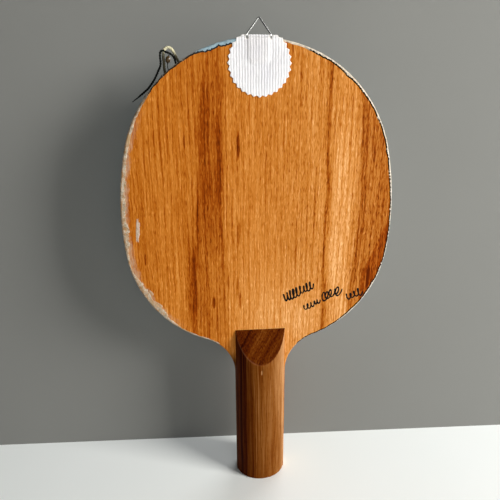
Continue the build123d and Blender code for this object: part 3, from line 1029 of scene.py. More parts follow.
def handle_scale(name, sign, material, node, seed):
    """Cross-sections up the handle; the outer surface is the smaller of the oval and the
    bevel. sign is -1 for the back scale and 1 for the front."""
    glue = abs(BACK)
    stations = np.unique(np.round(np.concatenate([
        [0, 0.03, 0.08, 0.16, 0.27, 0.40, 0.6, 0.9, 1.5],
        np.arange(2.5, 78, 1.5), np.arange(78, HANDLE_TOP - 0.9, 0.2),
        HANDLE_TOP - np.array([0.9, 0.75, 0.6, 0.45, 0.33, 0.22, 0.13, 0.06, 0.0])]), 4))
    start = math.asin(glue / OVAL_Y)
    angle = np.linspace(start, math.pi - start, SCALE_COLUMNS)
    surface_noise = Noise2(seed)
    verts, ridge = [], []
    for z in stations:
        bevel = glue + 0.05 + (HANDLE_TOP - z) * (BEVEL_DEPTH / BEVEL_LENGTH)
        rest = max(0.0, END_ROUND - z)
        shrink = END_ROUND - math.sqrt(max(0.0, 0.36 - rest * rest)) if rest > 0 else 0.0
        x = -OVAL_X * np.cos(angle)
        depth = OVAL_Y * np.sin(angle)
        # shallow hand-sanded waviness
        wave = (0.05 * surface_noise(angle * 3.0, z * 0.05)
                + 0.03 * surface_noise(angle * 9.0 + 40, z * 0.02))
        normal_x, normal_y = x / OVAL_X ** 2, depth / OVAL_Y ** 2
        length = np.hypot(normal_x, normal_y)
        fade = (smooth(start, start + 0.25, angle)
                * smooth(math.pi - start, math.pi - start - 0.25, angle) * smooth(0.0, 2.0, z))
        x = x + normal_x / length * (wave * fade - shrink)
        depth = np.maximum(depth + normal_y / length * (wave * fade - shrink), glue)
        outer = np.maximum(min_smooth(depth, np.full_like(depth, bevel), 0.42), glue)
        # small nick just below the bevel's tip
        outer = outer - 0.32 * np.exp(-((x - 0.1) / 0.42) ** 2 - ((z - 77.2) / 1.5) ** 2)
        verts.append(np.column_stack([x, sign * outer, np.full(SCALE_COLUMNS, z)]))
        ridge.append(np.exp(-((depth - bevel) / 0.22) ** 2)
                     * smooth(glue + 0.1, glue + 1.2, depth))
    grid = np.arange(len(stations) * SCALE_COLUMNS).reshape(-1, SCALE_COLUMNS)
    faces = stitch(grid, skip=SCALE_COLUMNS - 1)
    shading = [True] * len(faces) + [False] * 3
    # the flat glued side, then the two ends
    faces.append(tuple(list(grid[:, 0]) + list(grid[:, -1][::-1])))
    faces.append(tuple(grid[0, :][::-1]))
    faces.append(tuple(grid[-1, :]))
    make(name, np.vstack(verts), faces, material, node, shading,
         {"ridge": np.concatenate(ridge)})


handle_scale("back_scale_walnut", -1, M_WALNUT_BACK, "back_handle_scale", seed=31)
handle_scale("front_scale_walnut", 1, M_WALNUT_FRONT, "front_handle_scale", seed=47)


# ---------------------------------------------------------------- paint on the rim
OUTLINE = loop_outline(0.0)
along_loop = np.roll(OUTLINE, -1, axis=0) - np.roll(OUTLINE, 1, axis=0)
along_loop /= np.linalg.norm(along_loop, axis=1)[:, None]
OUTWARD = np.column_stack([-along_loop[:, 1], along_loop[:, 0]])

# The blade's cross-section is measured from inset 10 on the back face, outwards, round the
# edge and onto the front face. These are the lengths of its parts.
SECTION_START = 10.0
FLAT_LENGTH = SECTION_START - ROUND
ARC_LENGTH = ROUND * math.pi / 2
WALL_LENGTH = (FRONT - BACK) - 2 * ROUND
TO_FRONT_FLAT = FLAT_LENGTH + ARC_LENGTH + WALL_LENGTH + ARC_LENGTH
SKIN_COLUMNS = 34
PAINT_STOP = 236.0                                   # arc length where the paint ends at the neck


def section(run):
    """Point of the cross-section at a length along it: inset, y, and the outward and y parts
    of its normal."""
    if run < FLAT_LENGTH:
        return SECTION_START - run, BACK, 0.0, -1.0
    run -= FLAT_LENGTH
    if run < ARC_LENGTH:
        angle = run / ROUND
        return (ROUND - ROUND * math.sin(angle), BACK + ROUND - ROUND * math.cos(angle),
                math.sin(angle), -math.cos(angle))
    run -= ARC_LENGTH
    if run < WALL_LENGTH:
        return 0.0, BACK + ROUND + run, 1.0, 0.0
    run -= WALL_LENGTH
    if run < ARC_LENGTH:
        angle = run / ROUND
        return (ROUND - ROUND * math.cos(angle), FRONT - ROUND + ROUND * math.sin(angle),
                math.cos(angle), math.sin(angle))
    run -= ARC_LENGTH
    return ROUND + run, FRONT, 0.0, 1.0


def section_at(inset):
    """Length along the cross-section at an inset on the back side."""
    if inset >= ROUND:
        return SECTION_START - inset
    return FLAT_LENGTH + ROUND * math.asin(max(0.0, min(1.0, (ROUND - inset) / ROUND)))


def rim_skin(name, first, last, reach, thickness, seed):
    """Closed skin of paint over the blade's edge between two loop points. reach and thickness
    take an arc length and give how far in the paint goes on the back, and its height."""
    points = np.arange(first, last + 1)
    coarse, fine = Noise2(seed), Noise2(seed + 1)
    top, bottom, inward, arc, side = [], [], [], [], []
    along = path_lengths(OUTLINE[points])
    total = along[-1]
    for i, place in zip(points, along):
        back, front = section_at(reach(LOOP_ARC[i])), TO_FRONT_FLAT + 0.08
        ends = smooth(0.0, 3.0, place) * smooth(total, total - 3.0, place)
        middle = (back + front) / 2
        back, front = (back + (middle - back) * (1 - ends) * 0.9,
                       front + (middle - front) * (1 - ends) * 0.9)
        # more rows near the back boundary
        for run in back + (front - back) * np.linspace(0, 1, SKIN_COLUMNS) ** 1.35:
            inset, y, out_part, y_part = section(run)
            edge = (smooth(0.0, 0.35, run - back) * smooth(0.0, 0.25, front - run)
                    * (0.25 + 0.75 * ends))
            height = thickness(LOOP_ARC[i]) * edge * (
                0.55 + 0.5 * coarse(place * 0.55, run * 1.1)
                + 0.35 * fine(place * 1.9, run * 2.6))
            height = max(height, 0.012 * edge)
            base = OUTLINE[i] - OUTWARD[i] * inset
            out = OUTWARD[i] * out_part
            top.append(np.array([base[0] + out[0] * height, y + y_part * height,
                                 base[1] + out[1] * height]))
            bottom.append(np.array([base[0] - out[0] * 0.02, y - y_part * 0.02,
                                    base[1] - out[1] * 0.02]))
            inward.append(run - back)
            arc.append(LOOP_ARC[i])
            side.append(LOOP_SIDE[i])
    count = len(points)
    T = np.arange(count * SKIN_COLUMNS).reshape(count, SKIN_COLUMNS)
    B = T + count * SKIN_COLUMNS
    faces = []
    for j in range(count - 1):
        for k in range(SKIN_COLUMNS - 1):
            faces.append((T[j, k], T[j + 1, k], T[j + 1, k + 1], T[j, k + 1]))
            faces.append((B[j, k], B[j, k + 1], B[j + 1, k + 1], B[j + 1, k]))
    for j in range(count - 1):
        faces.append((T[j, 0], B[j, 0], B[j + 1, 0], T[j + 1, 0]))
        faces.append((T[j, -1], T[j + 1, -1], B[j + 1, -1], B[j, -1]))
    for k in range(SKIN_COLUMNS - 1):
        faces.append((T[0, k], T[0, k + 1], B[0, k + 1], B[0, k]))
        faces.append((T[-1, k], B[-1, k], B[-1, k + 1], T[-1, k + 1]))
    make(name, np.vstack([top, bottom]), faces, M_RIM,
         attrs={"run": inward * 2, "sarc": arc * 2, "side": side * 2})


# How far in the paint reaches on the back: arc length from the top centre, mm from the outline
LEFT_REACH = [
    (0, 1.1), (10, 2.2), (20, 2.3), (29, 1.9), (34, 1.1), (42, 0.9), (60, 0.8), (72, 1.3),
    (84, 1.8), (100, 2.3), (115, 2.5), (128, 3.0), (138, 3.6), (144, 2.8), (150, 1.6),
    (158, 0.9), (163, 1.3), (170, 3.0), (178, 3.4), (190, 3.0), (200, 1.5), (206, 0.9),
    (214, 1.0), (226, 0.9), (240, 0.7),
]
RIGHT_REACH = [
    (0, 1.1), (12, 1.2), (26, 1.5), (34, 1.9), (44, 1.5), (52, 1.9), (62, 1.5), (80, 1.35),
    (96, 1.6), (120, 1.3), (140, 1.15), (165, 1.3), (178, 1.5), (200, 1.3), (215, 0.9),
    (240, 0.6),
]
noise_a, noise_b, noise_c = Noise1(71), Noise1(72), Noise1(73)


def left_reach(arc):
    reach = float(np.interp(arc, *zip(*LEFT_REACH)))
    reach *= (1.0 + 0.20 * noise_a(arc * 0.35) + 0.14 * noise_b(arc * 1.3)
              + 0.10 * noise_c(arc * 3.1))
    return max(0.25, reach)


def right_reach(arc):
    reach = float(np.interp(arc, *zip(*RIGHT_REACH)))
    reach *= (1.0 + 0.18 * noise_b(arc * 0.3 + 50) + 0.07 * noise_c(arc * 1.2 + 20)
              + 0.03 * noise_a(arc * 3.3))
    return max(0.22, reach)


def left_thickness(arc):
    return 0.13 + 0.16 * float(smooth(44, 34, arc)) + 0.04 * float(noise_a(arc * 0.2))


def right_thickness(arc):
    return 0.11 + 0.03 * float(noise_b(arc * 0.2))


def loop_index(arc, side):
    """Loop point nearest an arc length on a side."""
    points = np.where(LOOP_SIDE == side)[0]
    return int(points[np.argmin(np.abs(LOOP_ARC[points] - arc))])


# right: from the top centre down to the neck; left: from the neck up to the top
rim_skin("rim_paint_right", 0, loop_index(PAINT_STOP, 1), right_reach, right_thickness, seed=81)
rim_skin("rim_paint_left", loop_index(PAINT_STOP - 3, -1), LOOP_COUNT - 1, left_reach,
         left_thickness, seed=83)


# ---------------------------------------------------------------- daubs on the back face
DAUB_RINGS, DAUB_SIDES = 9, 72


def daub(name, centre, half_width, half_length, lean, seed, material, height):
    """Closed ragged blob of dried paint. lean turns it clockwise from upright, in degrees."""
    bumps = Noise2(seed)
    ragged = Noise1(seed + 3)
    angle = np.linspace(0, 2 * math.pi, DAUB_SIDES, endpoint=False)
    turn = math.radians(lean)
    rag = (1 + 0.16 * ragged(angle * 2.2) + 0.12 * ragged(angle * 5.5 + 30)
           + 0.07 * ragged(angle * 12 + 60))
    # make the noise meet at the seam
    blend = smooth(2 * math.pi - 0.7, 2 * math.pi, angle)
    rag = rag * (1 - blend) + rag[0] * blend
    layers, rings = [], []
    for j in range(DAUB_RINGS):
        size = 1 - j / DAUB_RINGS
        across = half_width * size * rag * np.sin(angle)
        along = half_length * size * rag * np.cos(angle)
        x = centre[0] + across * math.cos(turn) + along * math.sin(turn)
        z = centre[1] - across * math.sin(turn) + along * math.cos(turn)
        rise = float(smooth(0.0, 0.30, 1 - size)) if j else 0.0
        lift = height * rise * (0.55 + 0.4 * bumps(x * 0.9, z * 0.45)
                                + 0.3 * bumps(x * 2.6 + 9, z * 1.1))
        lift = np.maximum(lift, 0.015 * rise)
        layers.append(np.column_stack([x, BACK - 0.004 - lift, z]))
        rings.append(np.arange(j * DAUB_SIDES, (j + 1) * DAUB_SIDES))
    peak = DAUB_RINGS * DAUB_SIDES
    under = layers[0].copy()
    under[:, 1] = BACK + 0.03
    verts = np.vstack(layers + [[[centre[0], BACK - height * 0.6, centre[1]]], under])
    base = np.arange(peak + 1, peak + 1 + DAUB_SIDES)
    faces = stitch(rings)
    faces += [(rings[-1][k], rings[-1][(k + 1) % DAUB_SIDES], peak) for k in range(DAUB_SIDES)]
    faces += stitch([base, rings[0]])
    faces.append(tuple(base[::-1]))
    make(name, verts, faces, material)


# name, centre (x, z), half width, half length, lean, seed, material, height
for row in (
    ("daub_left_upper", (-66.5, 161.6), 1.05, 6.6, 6, 91, M_DAUB, 0.15),
    ("daub_low_a", (-59.2, 118.4), 1.4, 3.4, -48, 94, M_DAUB_TAN, 0.11),
    ("daub_low_b", (-55.6, 112.7), 1.0, 3.0, -44, 95, M_DAUB_TAN, 0.10),
    ("daub_low_c", (-61.8, 125.4), 0.7, 1.9, -36, 96, M_DAUB_TAN, 0.09),
):
    daub(*row)


# ---------------------------------------------------------------- ink on the back face
INK_STEP = 0.16
# Stroke's cross-section: share of the half width, height above the face
INK_SECTION = [(-1.0, 0.0), (-0.72, 0.030), (-0.3, 0.042), (0.3, 0.042), (0.72, 0.030),
               (1.0, 0.0), (0.6, -0.02), (-0.6, -0.02)]
# start (x, z), end (x, z), height, loops, width, seed, lean, looseness of the loops
SCRIBBLES = [
    ((14.0, 119.5), (31.5, 127.0), 4.3, 9, 0.90, 201, 0.25, 0.35),
    ((26.5, 112.6), (35.9, 116.9), 3.4, 5, 0.86, 202, 0.3, 0.5),
    ((38.4, 119.3), (48.6, 123.9), 4.6, 5, 0.90, 203, 0.45, 0.6),
    ((51.8, 118.1), (61.0, 122.3), 4.2, 4, 0.86, 204, 0.2, 0.45),
]


def scribble(start, end, height, loops, seed, lean, looseness):
    """Points of a running pen loop that spells nothing."""
    start, end = np.array(start, float), np.array(end, float)
    direction = end - start
    length = np.linalg.norm(direction)
    direction /= length
    normal = np.array([-direction[1], direction[0]])
    size_noise, pace_noise = Noise1(seed), Noise1(seed + 7)
    points = []
    steps = loops * 14
    for k in range(steps + 1):
        u = k / steps
        phase = 2 * math.pi * loops * u + 0.5 * float(pace_noise(u * loops * 0.9))
        size = 0.5 * height * (1 + 0.38 * float(size_noise(u * loops * 0.8)))
        up = size * math.sin(phase)
        along = (length * u + looseness * size * (math.cos(phase) - 1)
                 * (0.7 + 0.5 * float(pace_noise(u * loops * 0.6 + 30))))
        points.append(start + direction * (along + lean * up)
                      + normal * (up + 0.25 * float(size_noise(u * 2 + 60))))
    return points


def stroke(points, width, seed, base):
    """Ribbon of ink along (x, z) points, rounded on top."""
    path = resample(points, INK_STEP)
    tangent = np.gradient(path, axis=0)
    tangent /= np.maximum(np.linalg.norm(tangent, axis=1)[:, None], 1e-9)
    normal = np.column_stack([-tangent[:, 1], tangent[:, 0]])
    run = np.arange(len(path)) * INK_STEP
    noise = Noise1(seed)
    half = 0.5 * width * (1 + 0.22 * noise(run * 0.8) + 0.12 * noise(run * 3.0 + 40))
    half *= 0.35 + 0.65 * np.minimum(smooth(0, 0.45, run), smooth(run[-1], run[-1] - 0.45, run))
    verts = []
    for i in range(len(path)):
        for share, height in INK_SECTION:
            x, z = path[i] + normal[i] * half[i] * share
            verts.append((x, BACK - 0.003 - height, z))
    rings = base + np.arange(len(verts)).reshape(-1, len(INK_SECTION))
    return verts, stitch(rings) + [tuple(rings[0][::-1]), tuple(rings[-1])]


def ink_scribble():
    verts, faces = [], []
    for start, end, height, loops, width, seed, lean, looseness in SCRIBBLES:
        points = scribble(start, end, height, loops, seed, lean, looseness)
        new_verts, new_faces = stroke(points, width, seed, len(verts))
        verts += new_verts
        faces += new_faces
    make("ink_scribble", verts, faces, M_INK)


ink_scribble()


# ---------------------------------------------------------------- painted front
GROUND_STEP = 1.15                                   # spacing of the sheet's inner points


def ground_boundary(low, notch_half):
    """The blade's outline down to z = low, cut round the handle scale."""
    half, _ = half_outline(1.0, 1.2)
    cut = np.array([np.interp(low, half[:, 1][::-1], half[:, 0][::-1]), low])
    right = np.array([p for p in half if p[1] >= low] + [cut])
    notch = np.array([[notch_half, low], [notch_half, HANDLE_TOP + 0.6]])
    boundary = np.vstack([right, notch, notch[::-1] * [-1, 1], right[::-1][:-1] * [-1, 1]])
    # thin the boundary so that no two points fall together
    kept = [boundary[0]]
    for p in boundary[1:]:
        if np.linalg.norm(p - kept[-1]) > 0.05:
            kept.append(p)
    if np.linalg.norm(kept[0] - kept[-1]) < 0.05:
        kept.pop()
    return np.array(kept)


def front_ground():
    """Closed sheet over the front face, with shallow ridges left by the brush."""
    low = float(GROUND_LOW[2])
    notch_half = OVAL_X + 0.6
    boundary = ground_boundary(low, notch_half)
    grid_x, grid_z = np.meshgrid(np.arange(-74, 74.1, GROUND_STEP),
                                 np.arange(low + 0.6, BLADE_TOP - 1.2, GROUND_STEP))
    grid_x[1::2] += GROUND_STEP / 2
    points = np.column_stack([grid_x.ravel(), grid_z.ravel()])
    inner_half = half_outline(2.0, 1.2)[0]
    # inside test by the outline's width at each height
    width = np.array([np.max(np.abs(inner_half[:, 0][np.abs(inner_half[:, 1] - z) < 1.6]),
                             initial=0.0) for z in points[:, 1]])
    inside = np.abs(points[:, 0]) < width - 0.4
    inside &= ~((np.abs(points[:, 0]) < notch_half + 0.6) & (points[:, 1] < HANDLE_TOP + 1.3))
    flat, triangles, sources = triangulate(boundary, points[inside], 1e-5)
    on_edge = np.array([any(i < len(boundary) for i in source) if source else True
                        for source in sources])
    fine, coarse, bend = Noise2(301), Noise2(302), Noise2(303)
    x, z = flat[:, 0], flat[:, 1]
    warp = 9 * bend(x * 0.02, z * 0.02)
    ridge = (fine(x * 0.06, (z + warp) * 0.8) * 0.10
             + coarse(x * 0.03 + 9, (z + warp) * 0.35) * 0.10)
    thickness = float(GROUND_HIGH[1]) - FRONT
    top = np.column_stack([x, FRONT + thickness + np.where(on_edge, -0.12, ridge * 0.8), z])
    bottom = np.column_stack([x, np.full(len(x), FRONT + 0.002), z])
    faces = sheet_faces(triangles, rim_edges(triangles), len(x))
    make("front_painted_ground", np.vstack([top, bottom]), faces, M_GROUND,
         "front_ground")


front_ground()


# ---------------------------------------------------------------- cloth hanger
DISC_X, DISC_Z = HINGE_X + 0.4, HINGE_Z - 12.0       # middle of the cloth disc
CLOTH = 0.30                                         # thickness
BEND = 0.55                                          # middle of the cloth round the wire
WRAP = math.pi * BEND
STRIP_HALF, TONGUE_HALF, EAR_HALF = 5.2, 4.4, 6.3    # half widths: over the wire, tongue, ears
TONGUE_ROUND = 2.2                                   # corner radius of the tongue's end
RIB_PITCH = 1.40
TONGUE_END = HINGE_Z - 11.4
PATTERN_END = HINGE_Z + WRAP + (HINGE_Z - TONGUE_END)
TOOTH_TIP, TOOTH_ROOT, TEETH = 16.15, 15.15, 32      # radii and number of the pinked teeth
SLIT_HALF, SLIT_BOTTOM = 6.42, HINGE_Z - 1.25


def inside_polygon(points, polygon):
    """Even-odd test of points against a polygon."""
    x, y = points[:, 0], points[:, 1]
    inside = np.zeros(len(points), bool)
    for (xi, yi), (xj, yj) in zip(polygon, np.roll(polygon, 1, axis=0)):
        inside ^= ((yi > y) != (yj > y)) & (x < (xj - xi) * (y - yi) / (yj - yi + 1e-12) + xi)
    return inside


def nearest(points, targets):
    """Distance from each point to the nearest target, at most 9."""
    distance = np.full(len(points), 9.0)
    for k in range(0, len(targets), 64):
        part = targets[k:k + 64]
        gaps = np.hypot(points[:, None, 0] - part[None, :, 0],
                        points[:, None, 1] - part[None, :, 1])
        distance = np.minimum(distance, np.min(gaps, axis=1))
    return distance


def cloth_pattern():
    """Outline of the flat cloth: x across, and s up the front, over the wire and down the
    tongue."""
    top = HINGE_Z + 0.7
    noise = Noise1(401)
    disc = []
    for k in range(2 * TEETH):
        angle = math.pi * k / TEETH
        radius = (TOOTH_TIP if k % 2 == 0 else TOOTH_ROOT) + 0.09 * float(noise(k * 1.3))
        angle += 0.006 * float(noise(k * 2.9 + 50))
        disc.append((DISC_X + radius * math.sin(angle), DISC_Z - radius * math.cos(angle)))
    disc.append(disc[0])
    right = [p for p in disc[:TEETH + 1] if p[1] < top - 0.35]
    left = [p for p in disc[TEETH:] if p[1] < top - 0.35]
    slit_left, slit_right = HINGE_X - SLIT_HALF, HINGE_X + SLIT_HALF
    right_shoulder = [(right[-1][0] - 0.75, top - 0.45), (right[-1][0] - 1.6, top + 0.0),
                      (slit_right + 0.9, top - 0.35), (slit_right + 0.1, top)]
    left_shoulder = [(slit_left - 0.1, top - 0.05), (slit_left - 0.9, top - 0.45),
                     (left[0][0] + 1.5, top), (left[0][0] + 0.7, top - 0.40)]
    behind = HINGE_Z + WRAP
    corner = PATTERN_END - TONGUE_ROUND
    # strip and tongue, up the right side: half width, s
    strip = [(STRIP_HALF, SLIT_BOTTOM), (STRIP_HALF, behind + 0.42), (EAR_HALF, behind + 0.55),
             (EAR_HALF, behind + 1.15), (STRIP_HALF, behind + 1.25), (TONGUE_HALF, behind + 2.1),
             (TONGUE_HALF, corner)]
    end = [(HINGE_X + TONGUE_HALF * math.cos(math.pi * k / 14),
            corner + TONGUE_ROUND * math.sin(math.pi * k / 14)) for k in range(1, 14)]
    loop = (right + right_shoulder + [(slit_right, SLIT_BOTTOM)]
            + [(HINGE_X + half, s) for half, s in strip] + end
            + [(HINGE_X - half, s) for half, s in strip[::-1]]
            + [(slit_left, SLIT_BOTTOM)] + left_shoulder + left[:-1])
    outline = []
    for p, q in zip(loop, loop[1:] + loop[:1]):
        p, q = np.array(p), np.array(q)
        count = max(1, int(np.linalg.norm(q - p) / 0.20))
        outline += [p + (q - p) * j / count for j in range(count)]
    return np.array(outline)


def tongue_cover(x, z):
    """1 well inside the tongue that lies under the disc, 0 outside it."""
    right = np.abs(x - HINGE_X) - TONGUE_HALF
    down = (TONGUE_END + 0.2) - z
    corner = np.hypot(np.maximum(right + TONGUE_ROUND, 0) / TONGUE_ROUND,
                      np.maximum(down + TONGUE_ROUND, 0) / TONGUE_ROUND)
    distance = np.where((right > -TONGUE_ROUND) & (down > -TONGUE_ROUND),
                        (corner - 1) * TONGUE_ROUND, np.maximum(right, down))
    return 1 - smooth(-0.35, 2.3, distance)


def bend_cloth(x, s):
    """y and z of the cloth's middle surface at pattern point (x, s), and its outward normal."""
    wave, lift = Noise2(411), Noise2(412)
    front = s <= HINGE_Z
    tongue = s > HINGE_Z + WRAP
    z = np.where(front, s, np.where(tongue, HINGE_Z - (s - HINGE_Z - WRAP), HINGE_Z))
    angle = np.clip((s - HINGE_Z) / BEND, 0, math.pi)
    # the front leaf rises over the tongue and up to the wire
    y = BACK - CLOTH / 2 - 0.01 - 0.37 * tongue_cover(x, z)
    to_wire = smooth(HINGE_Z - 0.95, HINGE_Z + 0.05, z) * (np.abs(x - HINGE_X) < STRIP_HALF + 0.01)
    radius = np.hypot(x - DISC_X, z - DISC_Z)
    lie = 0.030 * wave(x * 0.22, z * 0.16) * smooth(16.3, 12.0, radius)
    # the pinked rim lifts a hair here and there
    rim_lift = (0.10 * smooth(14.0, 16.2, radius) * np.maximum(0, lift(x * 0.12, z * 0.12))
                * (z < HINGE_Z - 2))
    front_y = (y - np.abs(lie) - rim_lift) * (1 - to_wire) + (HINGE_Y - BEND) * to_wire
    # behind: from the wire's back onto the blade
    behind = smooth(BLADE_TOP - ROUND, HINGE_Z, z)
    tongue_y = (BACK - CLOTH / 2 - 0.005) * (1 - behind) + (HINGE_Y + BEND) * behind
    bent_y = np.where(front, front_y,
                      np.where(tongue, tongue_y, HINGE_Y - BEND * np.cos(angle)))
    bent_z = np.where(front | tongue, z, HINGE_Z + BEND * np.sin(angle))
    normal_y = np.where(front, -1.0, np.where(tongue, 1.0, -np.cos(angle)))
    normal_z = np.where(front | tongue, 0.0, np.sin(angle))
    return bent_y, bent_z, normal_y, normal_z


def cloth_points(outline):
    """Inner points of the pattern, in columns nine to a rib and closer over the wire."""
    columns = np.arange(DISC_X - 17, DISC_X + 17, RIB_PITCH / 9)
    grid = np.meshgrid(columns, np.arange(DISC_Z - 17, PATTERN_END + 0.1, 0.40))
    points = np.column_stack([part.ravel() for part in grid])
    low, high = HINGE_Z - 1.4, HINGE_Z + math.pi * BEND + 0.5
    over_wire = ((points[:, 1] > low) & (points[:, 1] < high)
                 & (np.abs(points[:, 0] - HINGE_X) < STRIP_HALF))
    dense = np.meshgrid(columns[np.abs(columns - HINGE_X) < STRIP_HALF],
                        np.arange(low, high, 0.12))
    points = np.vstack([points[~over_wire], np.column_stack([part.ravel() for part in dense])])
    points = points[inside_polygon(points, outline)]
    return points[nearest(points, outline) > 0.085]


def hanger():
    outline = cloth_pattern()
    flat, triangles, _ = triangulate(outline, cloth_points(outline), 1e-6)
    x, s = flat[:, 0], flat[:, 1]
    y, z, normal_y, normal_z = bend_cloth(x, s)
    rim = sorted(rim_edges(triangles))
    on_edge = np.zeros(len(x), bool)
    on_edge[np.array(rim).ravel()] = True
    # ribs along the cloth's length, with uneven yarns
    drift, yarn = Noise1(421), Noise2(422)
    ribs = 0.5 + 0.5 * np.cos(2 * math.pi * x / RIB_PITCH + 0.5 * drift(s * 0.25))
    ribs = ribs ** 0.7
    pile = (0.115 * ribs * (0.85 + 0.3 * yarn(x * 0.8, s * 0.5))
            + 0.012 * yarn(x * 3.0, s * 2.2))
    out = CLOTH / 2 - 0.075 + np.where(on_edge, 0.04, pile)
    back = np.where(on_edge, CLOTH / 2 - 0.03, CLOTH / 2 - 0.012)
    back = np.where((s > HINGE_Z) & (np.abs(x - HINGE_X) > STRIP_HALF + 0.02), 0.02, back)
    outer = np.column_stack([x, y + normal_y * out, z + normal_z * out])
    inner = np.column_stack([x, y - normal_y * back, z - normal_z * back])
    count = len(x)
    under = (tongue_cover(x, np.minimum(s, HINGE_Z)) * (s <= HINGE_Z)
             * (0.55 + 0.45 * smooth(HINGE_Z - 10, HINGE_Z - 1, s)))
    # painted shade along a shallow crease that runs down from the upper left beside the folded end
    crease = HINGE_X - 9.6 + (HINGE_Z - s) * 0.52
    under = np.maximum(under, 0.75 * smooth(crease - 0.6, crease + 1.6, x)
                       * smooth(HINGE_X - TONGUE_HALF + 1.0, HINGE_X - TONGUE_HALF - 0.4, x)
                       * smooth(HINGE_Z - 10.5, HINGE_Z - 7.5, s) * (s <= HINGE_Z - 0.2))
    rimness = np.concatenate([1 - smooth(0.0, 0.5, nearest(flat, outline)), np.ones(count) * 0.6])
    make("ribbed_cloth_hanger", np.vstack([outer, inner]), sheet_faces(triangles, rim, count),
         M_CLOTH, "hanger_cloth",
         attrs={"rimness": rimness, "under": np.concatenate([under, under * 0]),
                "rib": np.concatenate([ribs, ribs])})


hanger()


# ---------------------------------------------------------------- wire triangle
WIRE_RADIUS = 0.35
WIRE_HALF_BASE, WIRE_APEX, WIRE_CORNER = 6.62, 8.45, 0.6
WIRE_SIDES = 24


def filleted(points, radius, step=0.08):
    """Polyline through 2-D points with its corners rounded."""
    points = [np.array(p, float) for p in points]
    path = [points[0]]
    for before, corner, after in zip(points[:-2], points[1:-1], points[2:]):
        u = (before - corner) / np.linalg.norm(before - corner)
        v = (after - corner) / np.linalg.norm(after - corner)
        angle = math.acos(np.clip(u @ v, -1, 1))
        reach = radius / math.tan(angle / 2)
        first, last = corner + u * reach, corner + v * reach
        middle = (u + v) / np.linalg.norm(u + v)
        centre = corner + middle * (radius / math.sin(angle / 2))
        start = math.atan2(*(first - centre)[::-1])
        end = math.atan2(*(last - centre)[::-1])
        sweep = (end - start + math.pi) % (2 * math.pi) - math.pi
        count = max(4, int(abs(sweep) * radius / step))
        for k in range(count + 1):
            turn = start + sweep * k / count
            path.append(centre + radius * np.array([math.cos(turn), math.sin(turn)]))
    path.append(points[-1])
    return np.array(path)


def side_turns(sides, count):
    """0..1 round a tube, for count rings."""
    return np.tile(np.abs(np.linspace(-1, 1, sides)), count)


def wire():
    corners = [(0.2, 0.0), (WIRE_HALF_BASE, 0.0), (0.0, WIRE_APEX), (-WIRE_HALF_BASE, 0.0),
               (-0.2, 0.0)]
    flat = space_evenly(filleted(corners, WIRE_CORNER), 0.10)
    bow_x, bow_y = Noise1(501), Noise1(502)
    run = path_lengths(flat)
    # hand-bent: slight bows in the legs only, none in the fold
    leg = smooth(0.9, 2.2, flat[:, 1])
    path = np.column_stack([HINGE_X + flat[:, 0] + 0.07 * bow_x(run * 0.35) * leg,
                            HINGE_Y + 0.03 * bow_y(run * 0.3) * leg, HINGE_Z + flat[:, 1]])
    # cut ends, slightly rounded
    radius = np.full(len(path), WIRE_RADIUS - 0.004)
    radius[0] = radius[-1] = WIRE_RADIUS * 0.55
    radius[1] = radius[-2] = WIRE_RADIUS * 0.9
    path[1] = path[0] + (path[2] - path[0]) * 0.35
    path[-2] = path[-1] + (path[-3] - path[-1]) * 0.35
    verts, faces = tube(path, radius, WIRE_SIDES)
    make("wire_triangle", verts, faces, M_WIRE, "hanger_wire", body="hanger_loop",
         attrs={"run": np.repeat(run, WIRE_SIDES), "turn": side_turns(WIRE_SIDES, len(path))})


wire()


# ---------------------------------------------------------------- cords
# Middle lines: x, y, z
PALE_PATH = [
    (-46.6, 4.27, 236.2), (-47.5, 4.27, 240.6), (-48.0, 4.27, 244.2), (-48.0, 4.27, 247.0),
    (-48.1, 4.27, 249.7), (-47.7, 4.27, 252.1), (-45.8, 4.27, 253.4), (-43.9, 4.27, 252.7),
    (-42.6, 4.27, 250.7), (-41.4, 4.27, 248.2), (-39.7, 4.27, 245.3), (-36.9, 4.27, 241.0),
]
DARK_PATH = [
    (-40.4, 3.97, 236.8), (-41.3, 3.97, 241.6), (-42.1, 3.9, 246.4), (-42.9, 3.6, 248.7),
    (-44.4, 3.1, 250.2), (-46.4, 2.7, 250.9), (-48.0, 2.6, 251.5), (-49.2, 2.75, 251.0),
    (-49.6, 3.0, 249.2), (-49.5, 3.2, 246.9), (-49.7, 3.4, 244.9), (-50.9, 3.6, 242.5),
    (-53.2, 3.8, 238.4), (-56.5, 4.0, 234.3), (-61.4, 4.0, 230.3), (-65.2, 4.0, 227.6),
]
RIM_PATH = [(-49.1, 3.85, 240.5), (-50.5, 3.88, 238.6), (-54.0, 3.9, 234.9),
            (-57.2, 3.9, 231.6), (-59.2, 3.9, 230.0)]
THREAD_PATH = [
    (-45.15, 3.75, 250.2), (-45.41, 4.2, 249.3), (-45.78, 4.2, 247.75), (-46.15, 4.2, 246.2),
    (-46.2, 4.0, 244.0), (-45.2, 3.8, 241.2), (-43.6, 3.77, 238.2),
]
STRAND_SIDES, FIBRE_SIDES = 12, 5
# strand radius and its distance from the middle line, as shares of the cord's radius
TWIST_SHARES = {2: (0.54, 0.44), 3: (0.50, 0.50)}


